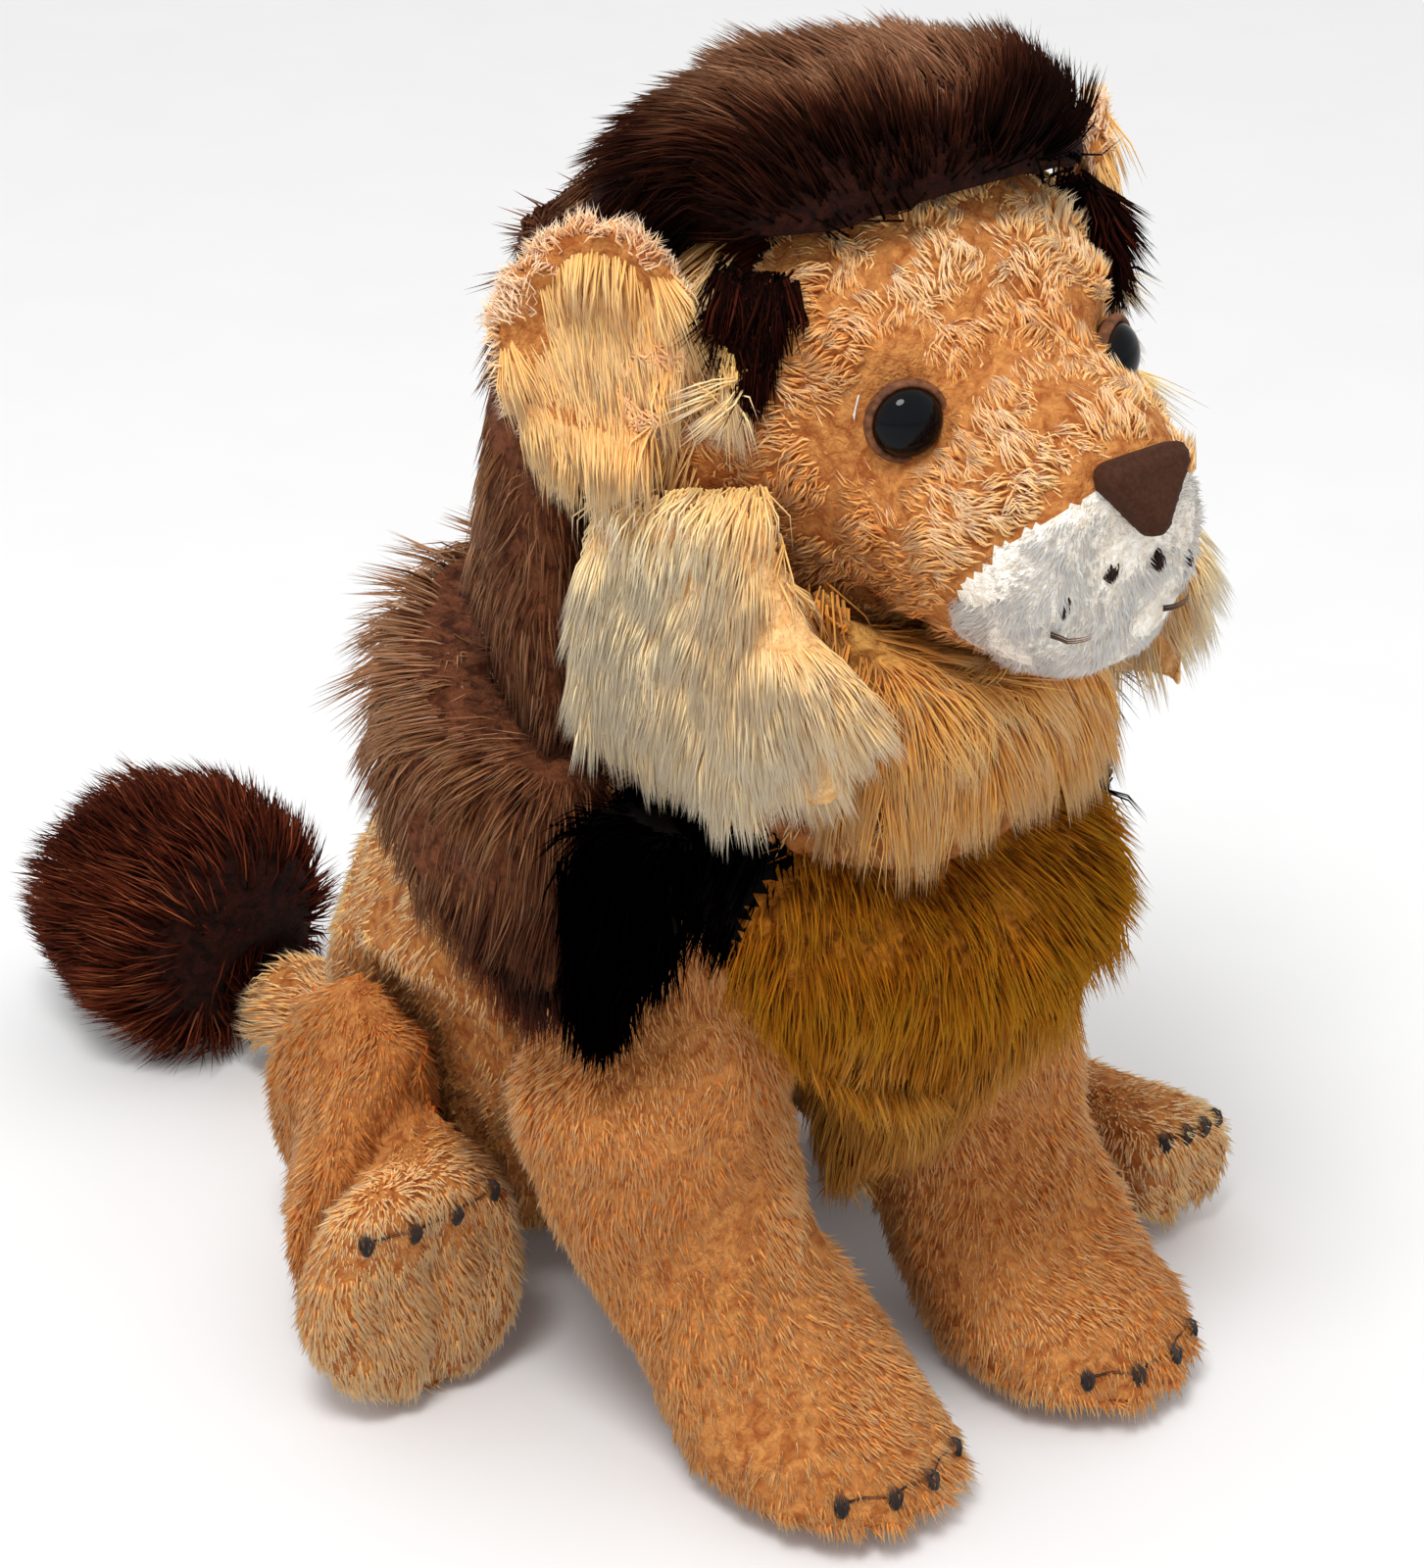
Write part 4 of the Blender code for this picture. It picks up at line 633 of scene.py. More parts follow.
def turned(name, profile, out, origin, material, columns=40):
    """A surface turned about an axis: each profile point (distance from the axis, height)
    becomes a ring. The map's width runs round the axis, and its height is a ring's share of
    the widest one."""
    out = unit(out)
    across = unit(np.cross(UP, out))
    other = np.cross(out, across)
    turn = np.linspace(0, 2 * math.pi, columns, endpoint=False)
    circle = np.cos(turn)[:, None] * across + np.sin(turn)[:, None] * other
    radius, height = np.asarray(profile).T
    cloud = origin + radius[:, None, None] * circle + height[:, None, None] * out
    triangles = grid_triangles(len(profile), columns)
    widest = radius.max()
    row = triangles // columns
    uv = np.stack(((triangles % columns) / columns * 0.9 + 0.05, radius[row] / widest * 0.96 + 0.02), -1)
    item = add_mesh(name, cloud.reshape(-1, 3), triangles, material, uv.reshape(-1, 2))
    bm = bmesh.new()
    bm.from_mesh(item.data)
    bmesh.ops.remove_doubles(bm, verts=bm.verts, dist=0.000005)
    bmesh.ops.recalc_face_normals(bm, faces=bm.faces)
    bm.to_mesh(item.data)
    bm.free()
    return item


def make_eye(name, material, rim_material):
    """A domed eye and the turned-in plush rim round it. The dome's height over its seat is
    the cosine, to the power of 0.9, of the angle whose sine is the share of its radius."""
    out, front = eye_marks(name)
    seat = front - out * EYE_DOME
    angle = np.linspace(0, math.pi / 2, 14)
    dome = np.stack((EYE_RADIUS * np.sin(angle), EYE_DOME * np.cos(angle) ** 0.9), 1)
    edge = np.array(((EYE_RADIUS, -EYE_EDGE_DROP), (EYE_RADIUS * 0.6, -EYE_BACK_DROP),
                     (0, -EYE_BACK_DROP)))
    eye = turned("eye_dome_" + name, np.concatenate((dome, edge)), out, seat, material)
    turn = np.linspace(0, 2 * math.pi, 13)
    rim = np.stack((EYE_RADIUS + EYE_RIM_GAP + EYE_RIM_HALF_WIDTH * np.cos(turn),
                    EYE_RIM_RISE + EYE_RIM_HALF_HEIGHT * np.sin(turn)), 1)
    ring = turned("eye_rim_" + name, rim, out, seat, rim_material)
    for item in (eye, ring):
        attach(item, "head")
    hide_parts("eye_" + name)
    return eye, ring


def surface_tree(item):
    """A search tree over a mesh object's surface."""
    mesh = item.data
    return BVHTree.FromPolygons(points_of(mesh).tolist(), triangles_of(mesh).tolist())


def centres_of(values, count):
    """The middles of a number of groups along one line, found by moving each middle to the
    mean of the values nearest to it ten times."""
    middles = np.quantile(values, (np.arange(count) + 0.5) / count)
    for _ in range(10):
        nearest = np.abs(values[:, None] - middles[None, :]).argmin(axis=1)
        middles = np.array([values[nearest == index].mean() for index in range(count)])
    return middles


def claw_places(node_name):
    """The middles of a claw row's four bars: its solid's points in four groups across the paw."""
    cloud = solid_points(node_name)
    middles = centres_of(cloud[:, 0], 4)
    nearest = np.abs(cloud[:, :1] - middles[None, :]).argmin(axis=1)
    return np.stack([cloud[nearest == index].mean(axis=0) for index in range(4)])


def thread_paths(tree, starts, ends, rise, steps=4):
    """Threads from each start to its end, which follow a surface and arch over it: by 0.35
    of the rise at both ends, and by the whole rise half way."""
    shares = np.linspace(0, 1, steps + 1)
    paths = np.zeros((len(starts), steps + 1, 3))
    for index, (start, end) in enumerate(zip(starts, ends)):
        for stop, share in enumerate(shares):
            point, normal, _, _ = tree.find_nearest(Vector(start + (end - start) * share))
            paths[index, stop] = np.array(point + normal * rise * (0.35 + 2.6 * share * (1 - share)))
    return paths


def stitched(name, paths, width, body, replaced, material, seed=5):
    """Threads as one piece that stands for its solids. The width is one for all, or one
    for each."""
    rng = np.random.default_rng(seed)
    shade = rng.uniform(0.1, 0.9, len(paths))
    item = strand_mesh(name, paths, np.full(len(paths), width), shade, material, rng)
    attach(item, body)
    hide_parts(*replaced)
    return item


def claw_stitches(name, node_name, base, body):
    """Four satin-stitched claws, each of upright threads that are longest in its middle, and
    two fine threads from each claw to the next, half sunk in the pile."""
    tree = surface_tree(base)
    bars = claw_places(node_name)
    starts, ends = [], []
    for middle in bars:
        point, normal, _, _ = tree.find_nearest(Vector(middle))
        point, normal = np.array(point), np.array(normal)
        upright = unit(UP - normal * normal[2])
        side = np.cross(normal, upright)
        for place in np.linspace(-0.9, 0.9, CLAW_THREADS):
            half = CLAW_HALF_HEIGHT * math.sqrt(1 - place * place)
            centre = point + side * place * CLAW_HALF_WIDTH
            starts.append(centre - upright * half)
            ends.append(centre + upright * half)
    threads = thread_paths(tree, starts, ends, THREAD_RISE)
    links = thread_paths(tree, np.repeat(bars[:-1], 2, axis=0), np.repeat(bars[1:], 2, axis=0),
                         LINK_RISE)
    links[:, :, 2] += np.tile((-LINK_SPREAD, LINK_SPREAD), len(bars) - 1)[:, None]
    widths = np.append(np.full(len(threads), CLAW_THREAD_WIDTH),
                       np.full(len(links), LINK_THREAD_WIDTH))
    return stitched(name, np.concatenate((threads, links)), widths, body, (node_name,), thread_pile)


def make_camera():
    """The photograph's camera, which looks at its target from an azimuth and an elevation."""
    data = bpy.data.cameras.new("camera")
    data.lens = CAMERA_LENS
    data.sensor_width = SENSOR_WIDTH
    data.clip_start = 0.01
    camera = bpy.data.objects.new("camera", data)
    bpy.context.scene.collection.objects.link(camera)
    flat = math.cos(CAMERA_ELEVATION)
    back = Vector((math.sin(CAMERA_AZIMUTH) * flat, -math.cos(CAMERA_AZIMUTH) * flat,
                   math.sin(CAMERA_ELEVATION)))
    camera.location = CAMERA_TARGET + back * CAMERA_DISTANCE
    camera.rotation_mode = "QUATERNION"
    camera.rotation_quaternion = (-back).to_track_quat("-Z", "Y")
    bpy.context.scene.camera = camera


def make_studio():
    """A white sweep, an even pale world and one wide soft lamp above the lion's front."""
    bpy.context.scene.view_settings.view_transform = "Standard"
    world = bpy.data.worlds.new("studio")
    bpy.context.scene.world = world
    world.use_nodes = True
    fed(world.node_tree, world.node_tree.nodes["Background"],
        {"Color": (1, 1, 1, 1), "Strength": WORLD_LEVEL})
    lamp = bpy.data.lights.new("softbox", "AREA")
    lamp.shape = "DISK"
    lamp.size = KEY_SIZE
    lamp.energy = KEY_POWER
    item = bpy.data.objects.new("softbox", lamp)
    bpy.context.scene.collection.objects.link(item)
    item.location = KEY_PLACE
    item.rotation_mode = "QUATERNION"
    item.rotation_quaternion = (CAMERA_TARGET - KEY_PLACE).to_track_quat("-Z", "Y")
    corners = np.array(((-1, -1, 0), (1, -1, 0), (1, 1, 0), (-1, 1, 0))) * FLOOR_REACH
    floor = add_mesh("floor", corners, np.array(((0, 1, 2), (0, 2, 3))), floor_material())


make_camera()
make_studio()

# Pile and backing materials

# Painted shade down each strand: how much darker its root is drawn than its tip, for the shade deep in
# the pile
WARM_ROOT_SHADE = ((0.0, "#DCA068"), (0.45, "#F8DEBA"), (1.0, "#FFFFFF"))
CREAMY_ROOT_SHADE = ((0.0, "#F6D8AE"), (0.5, "#FEF0DC"), (1.0, "#FFFFFF"))
DEEP_ROOT_SHADE = ((0.0, "#6E6E6E"), (0.5, "#C4C4C4"), (1.0, "#FFFFFF"))
PALE_ROOT_SHADE = ((0.0, "#FFD8A0"), (0.5, "#FFEFD4"), (1.0, "#FFFFFF"))
PLAIN_ROOT_SHADE = ((0.0, "#F4F0EA"), (1.0, "#FFFFFF"))

tan_pile = pile_material(
    "tan_minky_pile", ((0.0, "#B4642C"), (0.35, "#D28444"), (0.65, "#F4AE6C"), (1.0, "#FFD8A8")),
    WARM_ROOT_SHADE, sheen=0.02, gloss=0.06)
sand_pile = pile_material(
    "sand_curly_pile", ((0.0, "#E69A68"), (0.5, "#FFC99C"), (1.0, "#FFE8CC")), CREAMY_ROOT_SHADE)
cream_pile = pile_material(
    "cream_long_pile", ((0.0, "#FFBA74"), (0.35, "#FFCE90"), (0.7, "#FFDEAC"), (1.0, "#FFF0CE")),
    PALE_ROOT_SHADE, sheen=0.0, gloss=0.04, glow=0.5)
dark_pile = pile_material(
    "dark_brown_long_pile",
    ((0.0, "#050100"), (0.3, "#2E0E07"), (0.55, "#6E2E1A"), (0.85, "#C57146"), (1.0, "#E0966A")),
    DEEP_ROOT_SHADE, sheen=0.0, gloss=0.03, glow=0.0)
crest_pile = pile_material(
    "brown_crest_pile",
    ((0.0, "#050100"), (0.3, "#32150B"), (0.55, "#774630"), (0.85, "#CC9068"), (1.0, "#E6B48C")),
    DEEP_ROOT_SHADE, sheen=0.0, gloss=0.03, glow=0.1)
umber_pile = pile_material(
    "umber_long_pile", ((0.0, "#2A0E04"), (0.45, "#6E3A22"), (0.75, "#B4764E"), (1.0, "#E0AC84")),
    DEEP_ROOT_SHADE, sheen=0.02, gloss=0.05, glow=0.2)
# Dark brown fur drawn near black: painted shade for the dark sides between the cape and the bib
painted_shade_brown_pile = pile_material(
    "dark_brown_pile_with_painted_shade", ((0.0, "#010000"), (0.5, "#020101"), (1.0, "#100604")),
    DEEP_ROOT_SHADE, sheen=0.0, gloss=0.0, glow=0.0)
golden_pile = pile_material(
    "golden_pile", ((0.0, "#C47E34"), (0.5, "#F8AE56"), (1.0, "#FFD488")), CREAMY_ROOT_SHADE)
ochre_pile = pile_material(
    "ochre_long_pile", ((0.0, "#742F00"), (0.5, "#CA7412"), (1.0, "#F8B454")),
    DEEP_ROOT_SHADE, sheen=0.0, gloss=0.05, glow=0.3)
white_pile = pile_material(
    "white_pile", ((0.0, "#F8EADA"), (0.5, "#FFF7EC"), (1.0, "#FFFEFA")), PLAIN_ROOT_SHADE)
spot_pile = pile_material("brown_spot_pile", ((0.0, "#1E0E08"), (1.0, "#4E2E1E")), DEEP_ROOT_SHADE, glow=0.0)
thread_pile = pile_material(
    "dark_satin_thread", ((0.0, "#120806"), (1.0, "#44281C")), DEEP_ROOT_SHADE, gloss=0.4, glow=0.0)
mouth_pile = pile_material(
    "brown_mouth_thread", ((0.0, "#6A4C38"), (1.0, "#94745C")), DEEP_ROOT_SHADE, glow=0.0)
# The backings are the cloth's colours drawn mostly deeper than their piles: painted shade for the depth
# between the strands
tan_backing = backing_material("tan_plush_backing", "#965226", "#C28246")
white_backing = backing_material("white_plush_backing", "#E0D2C0", "#FFF8EC")
cream_backing = backing_material("cream_plush_backing", "#D8A060", "#F4C88C")
dark_backing = backing_material("dark_plush_backing", "#0C0302", "#2A0E06")
painted_shade_brown_backing = backing_material("dark_brown_backing_with_painted_shade", "#020101", "#080403")
umber_backing = backing_material("umber_plush_backing", "#3A1A0C", "#6A3C24")
golden_backing = backing_material("golden_plush_backing", "#96602A", "#D09A50")
ochre_backing = backing_material("ochre_plush_backing", "#5A2C04", "#A4641A")
eye_acrylic = eye_material()
eye_rim = moulded_material("brown_turned_rim", "#4A2C1C", "#74492F", roughness=0.7, grain=900.0,
                           gloss=0.15)
nose_abs = moulded_material("moulded_brown_nose", "#361D12", "#422618", roughness=0.75,
                            grain=1500.0, gloss=0.12)
washer_acetal = moulded_material("moulded_acetal", "#DADAD2", "#EEEEE8", roughness=0.45, grain=700.0)
bag_cloth = backing_material("cotton_bag_cloth", "#C8C0B0", "#E0DACC")

# Head

SIDES = ((-1, "right"), (1, "left"))
eyes = {name: eye_marks(name) for _, name in SIDES}
eye_seats = {name: front - out * EYE_SEAT_DEPTH for name, (out, front) in eyes.items()}
nose_cloud = solid_points("nose")
nose_front = nose_cloud[nose_cloud[:, 1] < NOSE_FRONT_EDGE]
# Clearings: their marks, how near to them no strand grows, and from where strands are full
EYE_CLEARING = (np.stack([eye_seats[name] for _, name in SIDES]), 0.0061, 0.0086)
NOSE_CLEARING = (nose_front, 0.0006, 0.0040)

# The relief round the left eye's seat: how far each form lies from the seat, its reach and
# its height. A socket, a brow, the eye's inner and outer corners, and a fold over the cheek
EYE_RELIEF = (
    ((0.000, 0.000, 0.0000), (0.0075, 0.0075, 0.0075), -0.0005),
    ((0.004, 0.002, 0.0095), (0.010, 0.008, 0.0042), 0.0030),
    ((-0.0095, 0.000, 0.0010), (0.003, 0.006, 0.003), -0.0018),
    ((0.0100, 0.004, -0.0010), (0.003, 0.006, 0.003), -0.0016),
    ((0.002, -0.004, -0.0130), (0.010, 0.010, 0.006), 0.0018),
)
MUZZLE_CLEFT = ((0, -0.140, 0.142), (0.0018, 0.012, 0.008), -0.0012)

# Where the face is drawn darker in an eye's corners: how far each place lies from the seat, its reach and
# strength
EYE_CORNER_DARKENING = (((-0.0085, -0.001, 0.0005), 0.0024, 0.55), ((0.0085, 0.004, -0.0010), 0.0024, 0.45))


def mirrored(points):
    """Each point moved to the lion's left side."""
    return points * np.where(points[:, :1] < 0, (-1, 1, 1), (1, 1, 1))


def in_muzzle(points, grow=0.0):
    """Below 1 inside the white muzzle's ellipsoid."""
    return (((points - MUZZLE_CENTRE) / (MUZZLE_HALF_SIZES + grow)) ** 2).sum(axis=1)


def bump_at(points, centre, radius, height):
    """A round hill or dent on a surface: the height times e to the minus squared distance,
    measured in radii."""
    return height * np.exp(-(((points - np.asarray(centre)) / radius) ** 2).sum(axis=1))


def face_shape(points):
    """The face's relief: the forms round both eyes and the cleft of the muzzle."""
    p = mirrored(points)
    relief = np.zeros(len(points))
    for offset, radius, height in EYE_RELIEF:
        relief += bump_at(p, eye_seats["left"] + np.array(offset), radius, height)
    return relief + bump_at(p, *MUZZLE_CLEFT)


def make_head():
    """The head with its neck and muzzle. Plugs fill the holes for the eyes and the nose."""
    plugs = [(eyes[name][1] - eyes[name][0] * EYE_PLUG_DEPTH, EYE_PLUG_RADIUS) for _, name in SIDES]
    plugs.append((nose_cloud.mean(axis=0) + BACK * NOSE_PLUG_DEPTH, NOSE_PLUG_RADIUS))
    solids = ["head_skin", "head_stuffing", "muzzle_panel", "neck_skin", "neck_stuffing"]
    return stuffed("head_form", solids, "head", tan_backing, voxel=0.0030,
                   inset=0.0018, swell=0.0008, plugs=plugs, shape=face_shape)


def lined_with(item, material, inside):
    """Give the faces whose middles pass a test a second material."""
    mesh = item.data
    mesh.materials.append(material)
    middles = np.empty(len(mesh.polygons) * 3, np.float32)
    mesh.polygons.foreach_get("center", middles)
    chosen = inside(middles.reshape(-1, 3).astype(float))
    mesh.polygons.foreach_set("material_index", chosen.astype(np.int32))
    mesh.update()


head = make_head()
lined_with(head, white_backing, lambda p: in_muzzle(p) < 1)


def face_density(points, normals):
    """The face in front of the ruff and the dark hair, outside the muzzle. It goes further
    back above the cheek, and is thinner up the forehead."""
    cheek = 1 - smooth_step(points[:, 2], 0.158, 0.176)
    edge = FACE_REAR_EDGE - CHEEK_EDGE_STEP * cheek
    thinning = FOREHEAD_THINNING * smooth_step(points[:, 2], 0.192, 0.202)
    in_front = (points[:, 1] < edge) * (in_muzzle(points) > 1) * (points[:, 2] > FACE_FOOT)
    return in_front * (1 - thinning)


def face_comb(points):
    """From the nose over the brow and the cheeks to the back."""
    return unit(points - FACE_FLOW_CENTRE) + BACK * 0.6


def face_tone(points):
    """Paler over the nose, paler up the forehead as painted light on its lit top, and dark in both
    corners of each eye.
    """
    p = mirrored(points)
    corners = np.zeros(len(points))
    for offset, radius, strength in EYE_CORNER_DARKENING:
        corners += bump_at(p, eye_seats["left"] + np.array(offset), radius, strength)
    # Painted light: the forehead is drawn paler where the light falls on it
    brow = 0.30 * smooth_step(p[:, 2], 0.178, 0.188)
    return 0.68 + 0.24 * smooth_step(-p[:, 1], 0.108, 0.124) + brow - corners


pile("face_pile", head, "head", "tan_plush", tan_pile, count=18000, length=0.0045, width=0.00053,
     comb=face_comb, seed=11, density=face_density, clearings=(EYE_CLEARING, NOSE_CLEARING),
     tone=face_tone, swirl=1.1, swirl_size=0.010, lean=0.98, curl=0.12, waviness=8.0, clump=0.6,
     bunch=16)
pile("muzzle_pile", head, "head", "white_plush", white_pile, count=12000, length=0.0032,
     width=0.00055, comb=away_from((0, -0.128, 0.160), DOWN * 0.5), seed=12,
     density=lambda p, n: in_muzzle(p, -0.0004) < 1, clearings=(NOSE_CLEARING,),
     replaces=("muzzle_panel",), lean=1.0, swirl=0.6, swirl_size=0.010, clump=0.3, bunch=10, steps=1)


def under_the_crest(points):
    """Above 0 where the dark hair between an ear and the face lies: over a line that falls
    towards the face."""
    return points[:, 2] - CREST_LINE_HEIGHT - (points[:, 1] - CREST_LINE_FRONT) * CREST_LINE_SLOPE


def temple_density(side):
    """The side of the head round an ear, behind the face and under the dark hair."""
    return lambda p, n: (p[:, 0] * side > 0.022) * (p[:, 1] > TEMPLE_FRONT) * (p[:, 1] < TEMPLE_REAR) \
        * (p[:, 2] > TEMPLE_FOOT) * (under_the_crest(p) < 0.001)


def sideburn_density(side):
    """The dark hair on the side of the head, from the crest down to its lower line."""
    return lambda p, n: (p[:, 0] * side > 0.020) * (p[:, 1] < TEMPLE_REAR) * (p[:, 1] > TEMPLE_FRONT) \
        * (under_the_crest(p) > 0) * (p[:, 2] < SIDEBURN_TOP)


# The style that both piles on the head's sides share
HEAD_SIDE = {"swirl": 0.15, "stray": 0.08, "clump": 0.4, "bunch": 24}
for side, side_name in SIDES:
    pile("temple_pile_" + side_name, head, "head", "cream_fur", cream_pile, count=1700,
         length=0.0130, width=0.00046, comb=even((0, 0.1, -1)), seed=14 + side,
         density=temple_density(side), lean=1.15, tone_spread=0.06, tone=level(0.50), **HEAD_SIDE)
    pile("sideburn_pile_" + side_name, head, "head", "dark_brown_fur", dark_pile, count=1400,
         length=0.0080, width=0.00050, comb=even((0, 0.35, -1)), seed=17 + side,
         density=sideburn_density(side), lean=1.05, tone=level(DARK_HAIR_TONE), **HEAD_SIDE)

# Whisker spots and the mouth
for side, side_name in SIDES:
    for number in (1, 2, 3):
        spot = "whisker_stitch_%s_%d" % (side_name, number)
        centre = solid_points(spot).mean(axis=0)
        pile(spot.replace("stitch", "spot"), head, "head", "thread", spot_pile, count=44,
             length=0.0032, width=0.00050, comb=even((0, 0, -1)), seed=900 + number,
             density=lambda p, n: nearest_distance(p, centre[None]) < SPOT_REACH,
             replaces=(spot,), lean=0.55, swirl=0.0, clump=0.6, bunch=60)
    mouth = solid_points("mouth_stitch_" + side_name)
    first, last = mouth[mouth[:, 0].argmin()], mouth[mouth[:, 0].argmax()]
    lines = thread_paths(surface_tree(head), [first] * 3, [last] * 3, THREAD_RISE, steps=6)
    lines[:, :, 2] += np.linspace(-MOUTH_HALF_WIDTH, MOUTH_HALF_WIDTH, 3)[:, None]
    stitched("mouth_line_" + side_name, lines, MOUTH_THREAD_WIDTH, "head",
             ("mouth_stitch_" + side_name,), mouth_pile)

for _, eye_name in SIDES:
    make_eye(eye_name, eye_acrylic, eye_rim)

nose = joined_copy("nose_moulding", ["nose"], nose_abs)
applied(nose, "skin", "REMESH", mode="VOXEL", voxel_size=0.0005)
applied(nose, "smooth", "SMOOTH", factor=0.5, iterations=4)
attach(nose, "head")
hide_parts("nose")

# Body and limbs


def sparse_under(normals, rest=0.8):
    """Few strands where the cloth faces the floor, and the rest added elsewhere."""
    return 0.2 + rest * (normals[:, 2] > -0.7)


torso = stuffed("body_form", ["torso_skin", "torso_stuffing"], "torso", tan_backing)
# Painted light: the body's one tone is drawn paler than the legs' for its lit flank
pile("body_pile", torso, "torso", "tan_plush", tan_pile, count=20000, length=0.0046, width=0.00066,
     comb=even((0, 0.35, -1)), seed=21,
     density=lambda p, n: (p[:, 2] < BODY_PILE_TOP) * (p[:, 1] > BODY_PILE_FRONT) * sparse_under(n, 1.0),
     swirl=0.45, swirl_size=0.016, clump=0.18, steps=1, tone=level(0.96))


def ridge(away, height, half_width):
    """A hill or dent along a line: the height times e to the minus squared distance from it,
    measured in half widths."""
    return height * np.exp(-(away / half_width) ** 2)


def toe_relief(bars):
    """Creases between the toes: a dent half way between neighbouring claws, long up the paw."""
    def relief(points):
        amount = np.zeros(len(points))
        for middle in (bars[:-1] + bars[1:]) / 2:
            away = np.linalg.norm((points - middle)[:, :2], axis=1)
            rise = points[:, 2] - middle[2]
            amount -= TOE_CREASE_DEPTH * np.exp(-(away / TOE_CREASE_HALF_WIDTH) ** 2
                                                - (rise / TOE_CREASE_REACH) ** 2)
        return amount
    return relief


def hind_relief(bars, fold_y):
    """Toe creases, the fold where the foot leaves the thigh with a swelling in front of it,
    and the crease down the sole."""
    toes = toe_relief(bars)
    middle = bars.mean(axis=0)

    def relief(points):
        behind = points[:, 1] - fold_y
        fold = ridge(behind, -FOLD_DEPTH, 0.0036) * smooth_step(points[:, 2], 0.008, 0.026)
        puff = ridge(behind + PUFF_OFFSET, PUFF_HEIGHT, 0.0060)
        sole = ridge(points[:, 0] - middle[0], -SOLE_CREASE_DEPTH, 0.0024)
        on_sole = (points[:, 1] < middle[1] + SOLE_MARGIN) * (points[:, 2] < middle[2] - SOLE_MARGIN)
        return toes(points) + fold + puff + sole * on_sole
    return relief


def foreleg_tone(points):
    """Paler down the leg, with painted shade at its top under the mane, and the left one deeper, painted
    shade for its side away from the light.
    """
    left = points[:, 0] > 0.015
    return 0.43 - 0.10 * left + 0.12 * smooth_step(-points[:, 2], -0.080, -0.030)


def hindleg_tone(points):
    """Deeper on the haunch, paler on the foot."""
    return 0.32 + 0.56 * smooth_step(-points[:, 1], 0.026, 0.042)


# Each kind of leg: its count of strands, seed, comb, density and tone
LIMBS = (
    ("foreleg", 24500, 31, even((0, -0.45, -1)),
     lambda p, n: (p[:, 2] < FORELEG_PILE_TOP) * sparse_under(n), foreleg_tone),
    ("hindleg", 16500, 41, even((0, -0.5, -0.8)), lambda p, n: sparse_under(n), hindleg_tone),
)
for kind, count, seed, comb, density, leg_tone in LIMBS:
    for side, side_name in SIDES:
        name = "%s_%s" % (kind, side_name)
        row = "%s_claws_%s" % (kind, side_name)
        bars = claw_places(row)
        relief = hind_relief(bars, HIND_FOLD_PLACE) if kind == "hindleg" else toe_relief(bars)
        body = "%s_%s" % (side_name, kind)
        leg = stuffed(kind + "_form_" + side_name, [name + "_skin", name + "_stuffing"], body,
                      tan_backing, voxel=0.0038, inset=0.0030, shape=relief)
        marks = solid_points(row)
        pile(kind + "_pile_" + side_name, leg, body, "tan_plush", tan_pile, count=count,
             length=0.0042, width=0.00068, comb=comb, seed=seed + side, density=density,
             clearings=((marks, 0.0012, 0.0042),), swirl=0.45, swirl_size=0.014, clump=0.15,
             lean=0.85, steps=1, tone=leg_tone)
        claw_stitches(kind + "_stitches_" + side_name, row, leg, body)

stem = stuffed("tail_form", ["tail_skin", "tail_stuffing"], "tail", tan_backing,
               voxel=0.003)
# Painted light: the tail stem's tone is drawn pale for its lit side
pile("tail_pile", stem, "tail", "tan_plush", tan_pile, count=3600, length=0.0070, width=0.00054,
     comb=even((-0.1, 1, -0.1)), seed=51, lean=1.1, tone=level(0.88))

# Long pile


def crest_tone(points):
    """Near black along the hairline, painted shade under the crest's overhanging front; paler brown along
    the top, painted light where the light falls, and brown behind.
    """
    # Painted light on the crest's top
    top = smooth_step(points[:, 2], 0.200, 0.212)
    behind = smooth_step(points[:, 1], -0.080, -0.054)
    return 0.04 + 0.68 * top + 0.48 * (1 - top) * behind


def crest_comb(points):
    """Up the front, back over the top, and down behind and beside the ears."""
    front = smooth_step(-points[:, 1], 0.072, 0.100)
    return np.stack((points[:, 0] * 6, np.full(len(points), 0.7), 1.7 * front - 1.0), 1)


def cape_tone(points):
    """Dark at the front and along the lower edge, paler over the back."""
    behind = smooth_step(points[:, 1], -0.070, -0.036)
    return 0.02 + 0.32 * behind + 0.38 * smooth_step(points[:, 2], 0.082, 0.112)


def nape_tone(points):
    """A little paler towards the back."""
    return 0.54 + 0.18 * smooth_step(points[:, 1], -0.060, -0.030)


def bib_tone(points):
    """Darker under the throat, painted shade cast by the throat ruff, and paler down to the tip."""
    return 0.34 + 0.66 * (1 - smooth_step(points[:, 2], 0.050, 0.092))


def ruff_tone(points):
    """Pale at the outer side, golden where the ruff meets the face."""
    return 0.58 + 0.34 * smooth_step(np.abs(points[:, 0]), 0.028, 0.042)


def rim_drawn_in(points):
    """The bib's upper rim goes back under the throat, and further the higher it is."""
    return BACK * (BIB_RIM_STEP * smooth_step(points[:, 2], 0.084, 0.112))[:, None]


def ruff_reach(outwards):
    """A ruff's front flares out, and comes forward and up beside the jaw."""
    def reach(points):
        front = smooth_step(-points[:, 1], 0.082, 0.102)
        low_front = front * (1 - smooth_step(points[:, 2], 0.146, 0.170))
        way = np.sign(points[:, :1]) * np.array((outwards, 0, 0)) + RUFF_STEP
        return way * low_front[:, None]
    return reach


def ruff_comb(points):
    """Down and outwards over the cheek, and forward along the front edge."""
    front = smooth_step(-points[:, 1], 0.092, 0.112)
    outwards = np.sign(points[:, 0]) * (0.30 - 0.20 * front)
    return np.stack((outwards, -0.10 - 0.70 * front, -1 + 0.50 * front), 1)


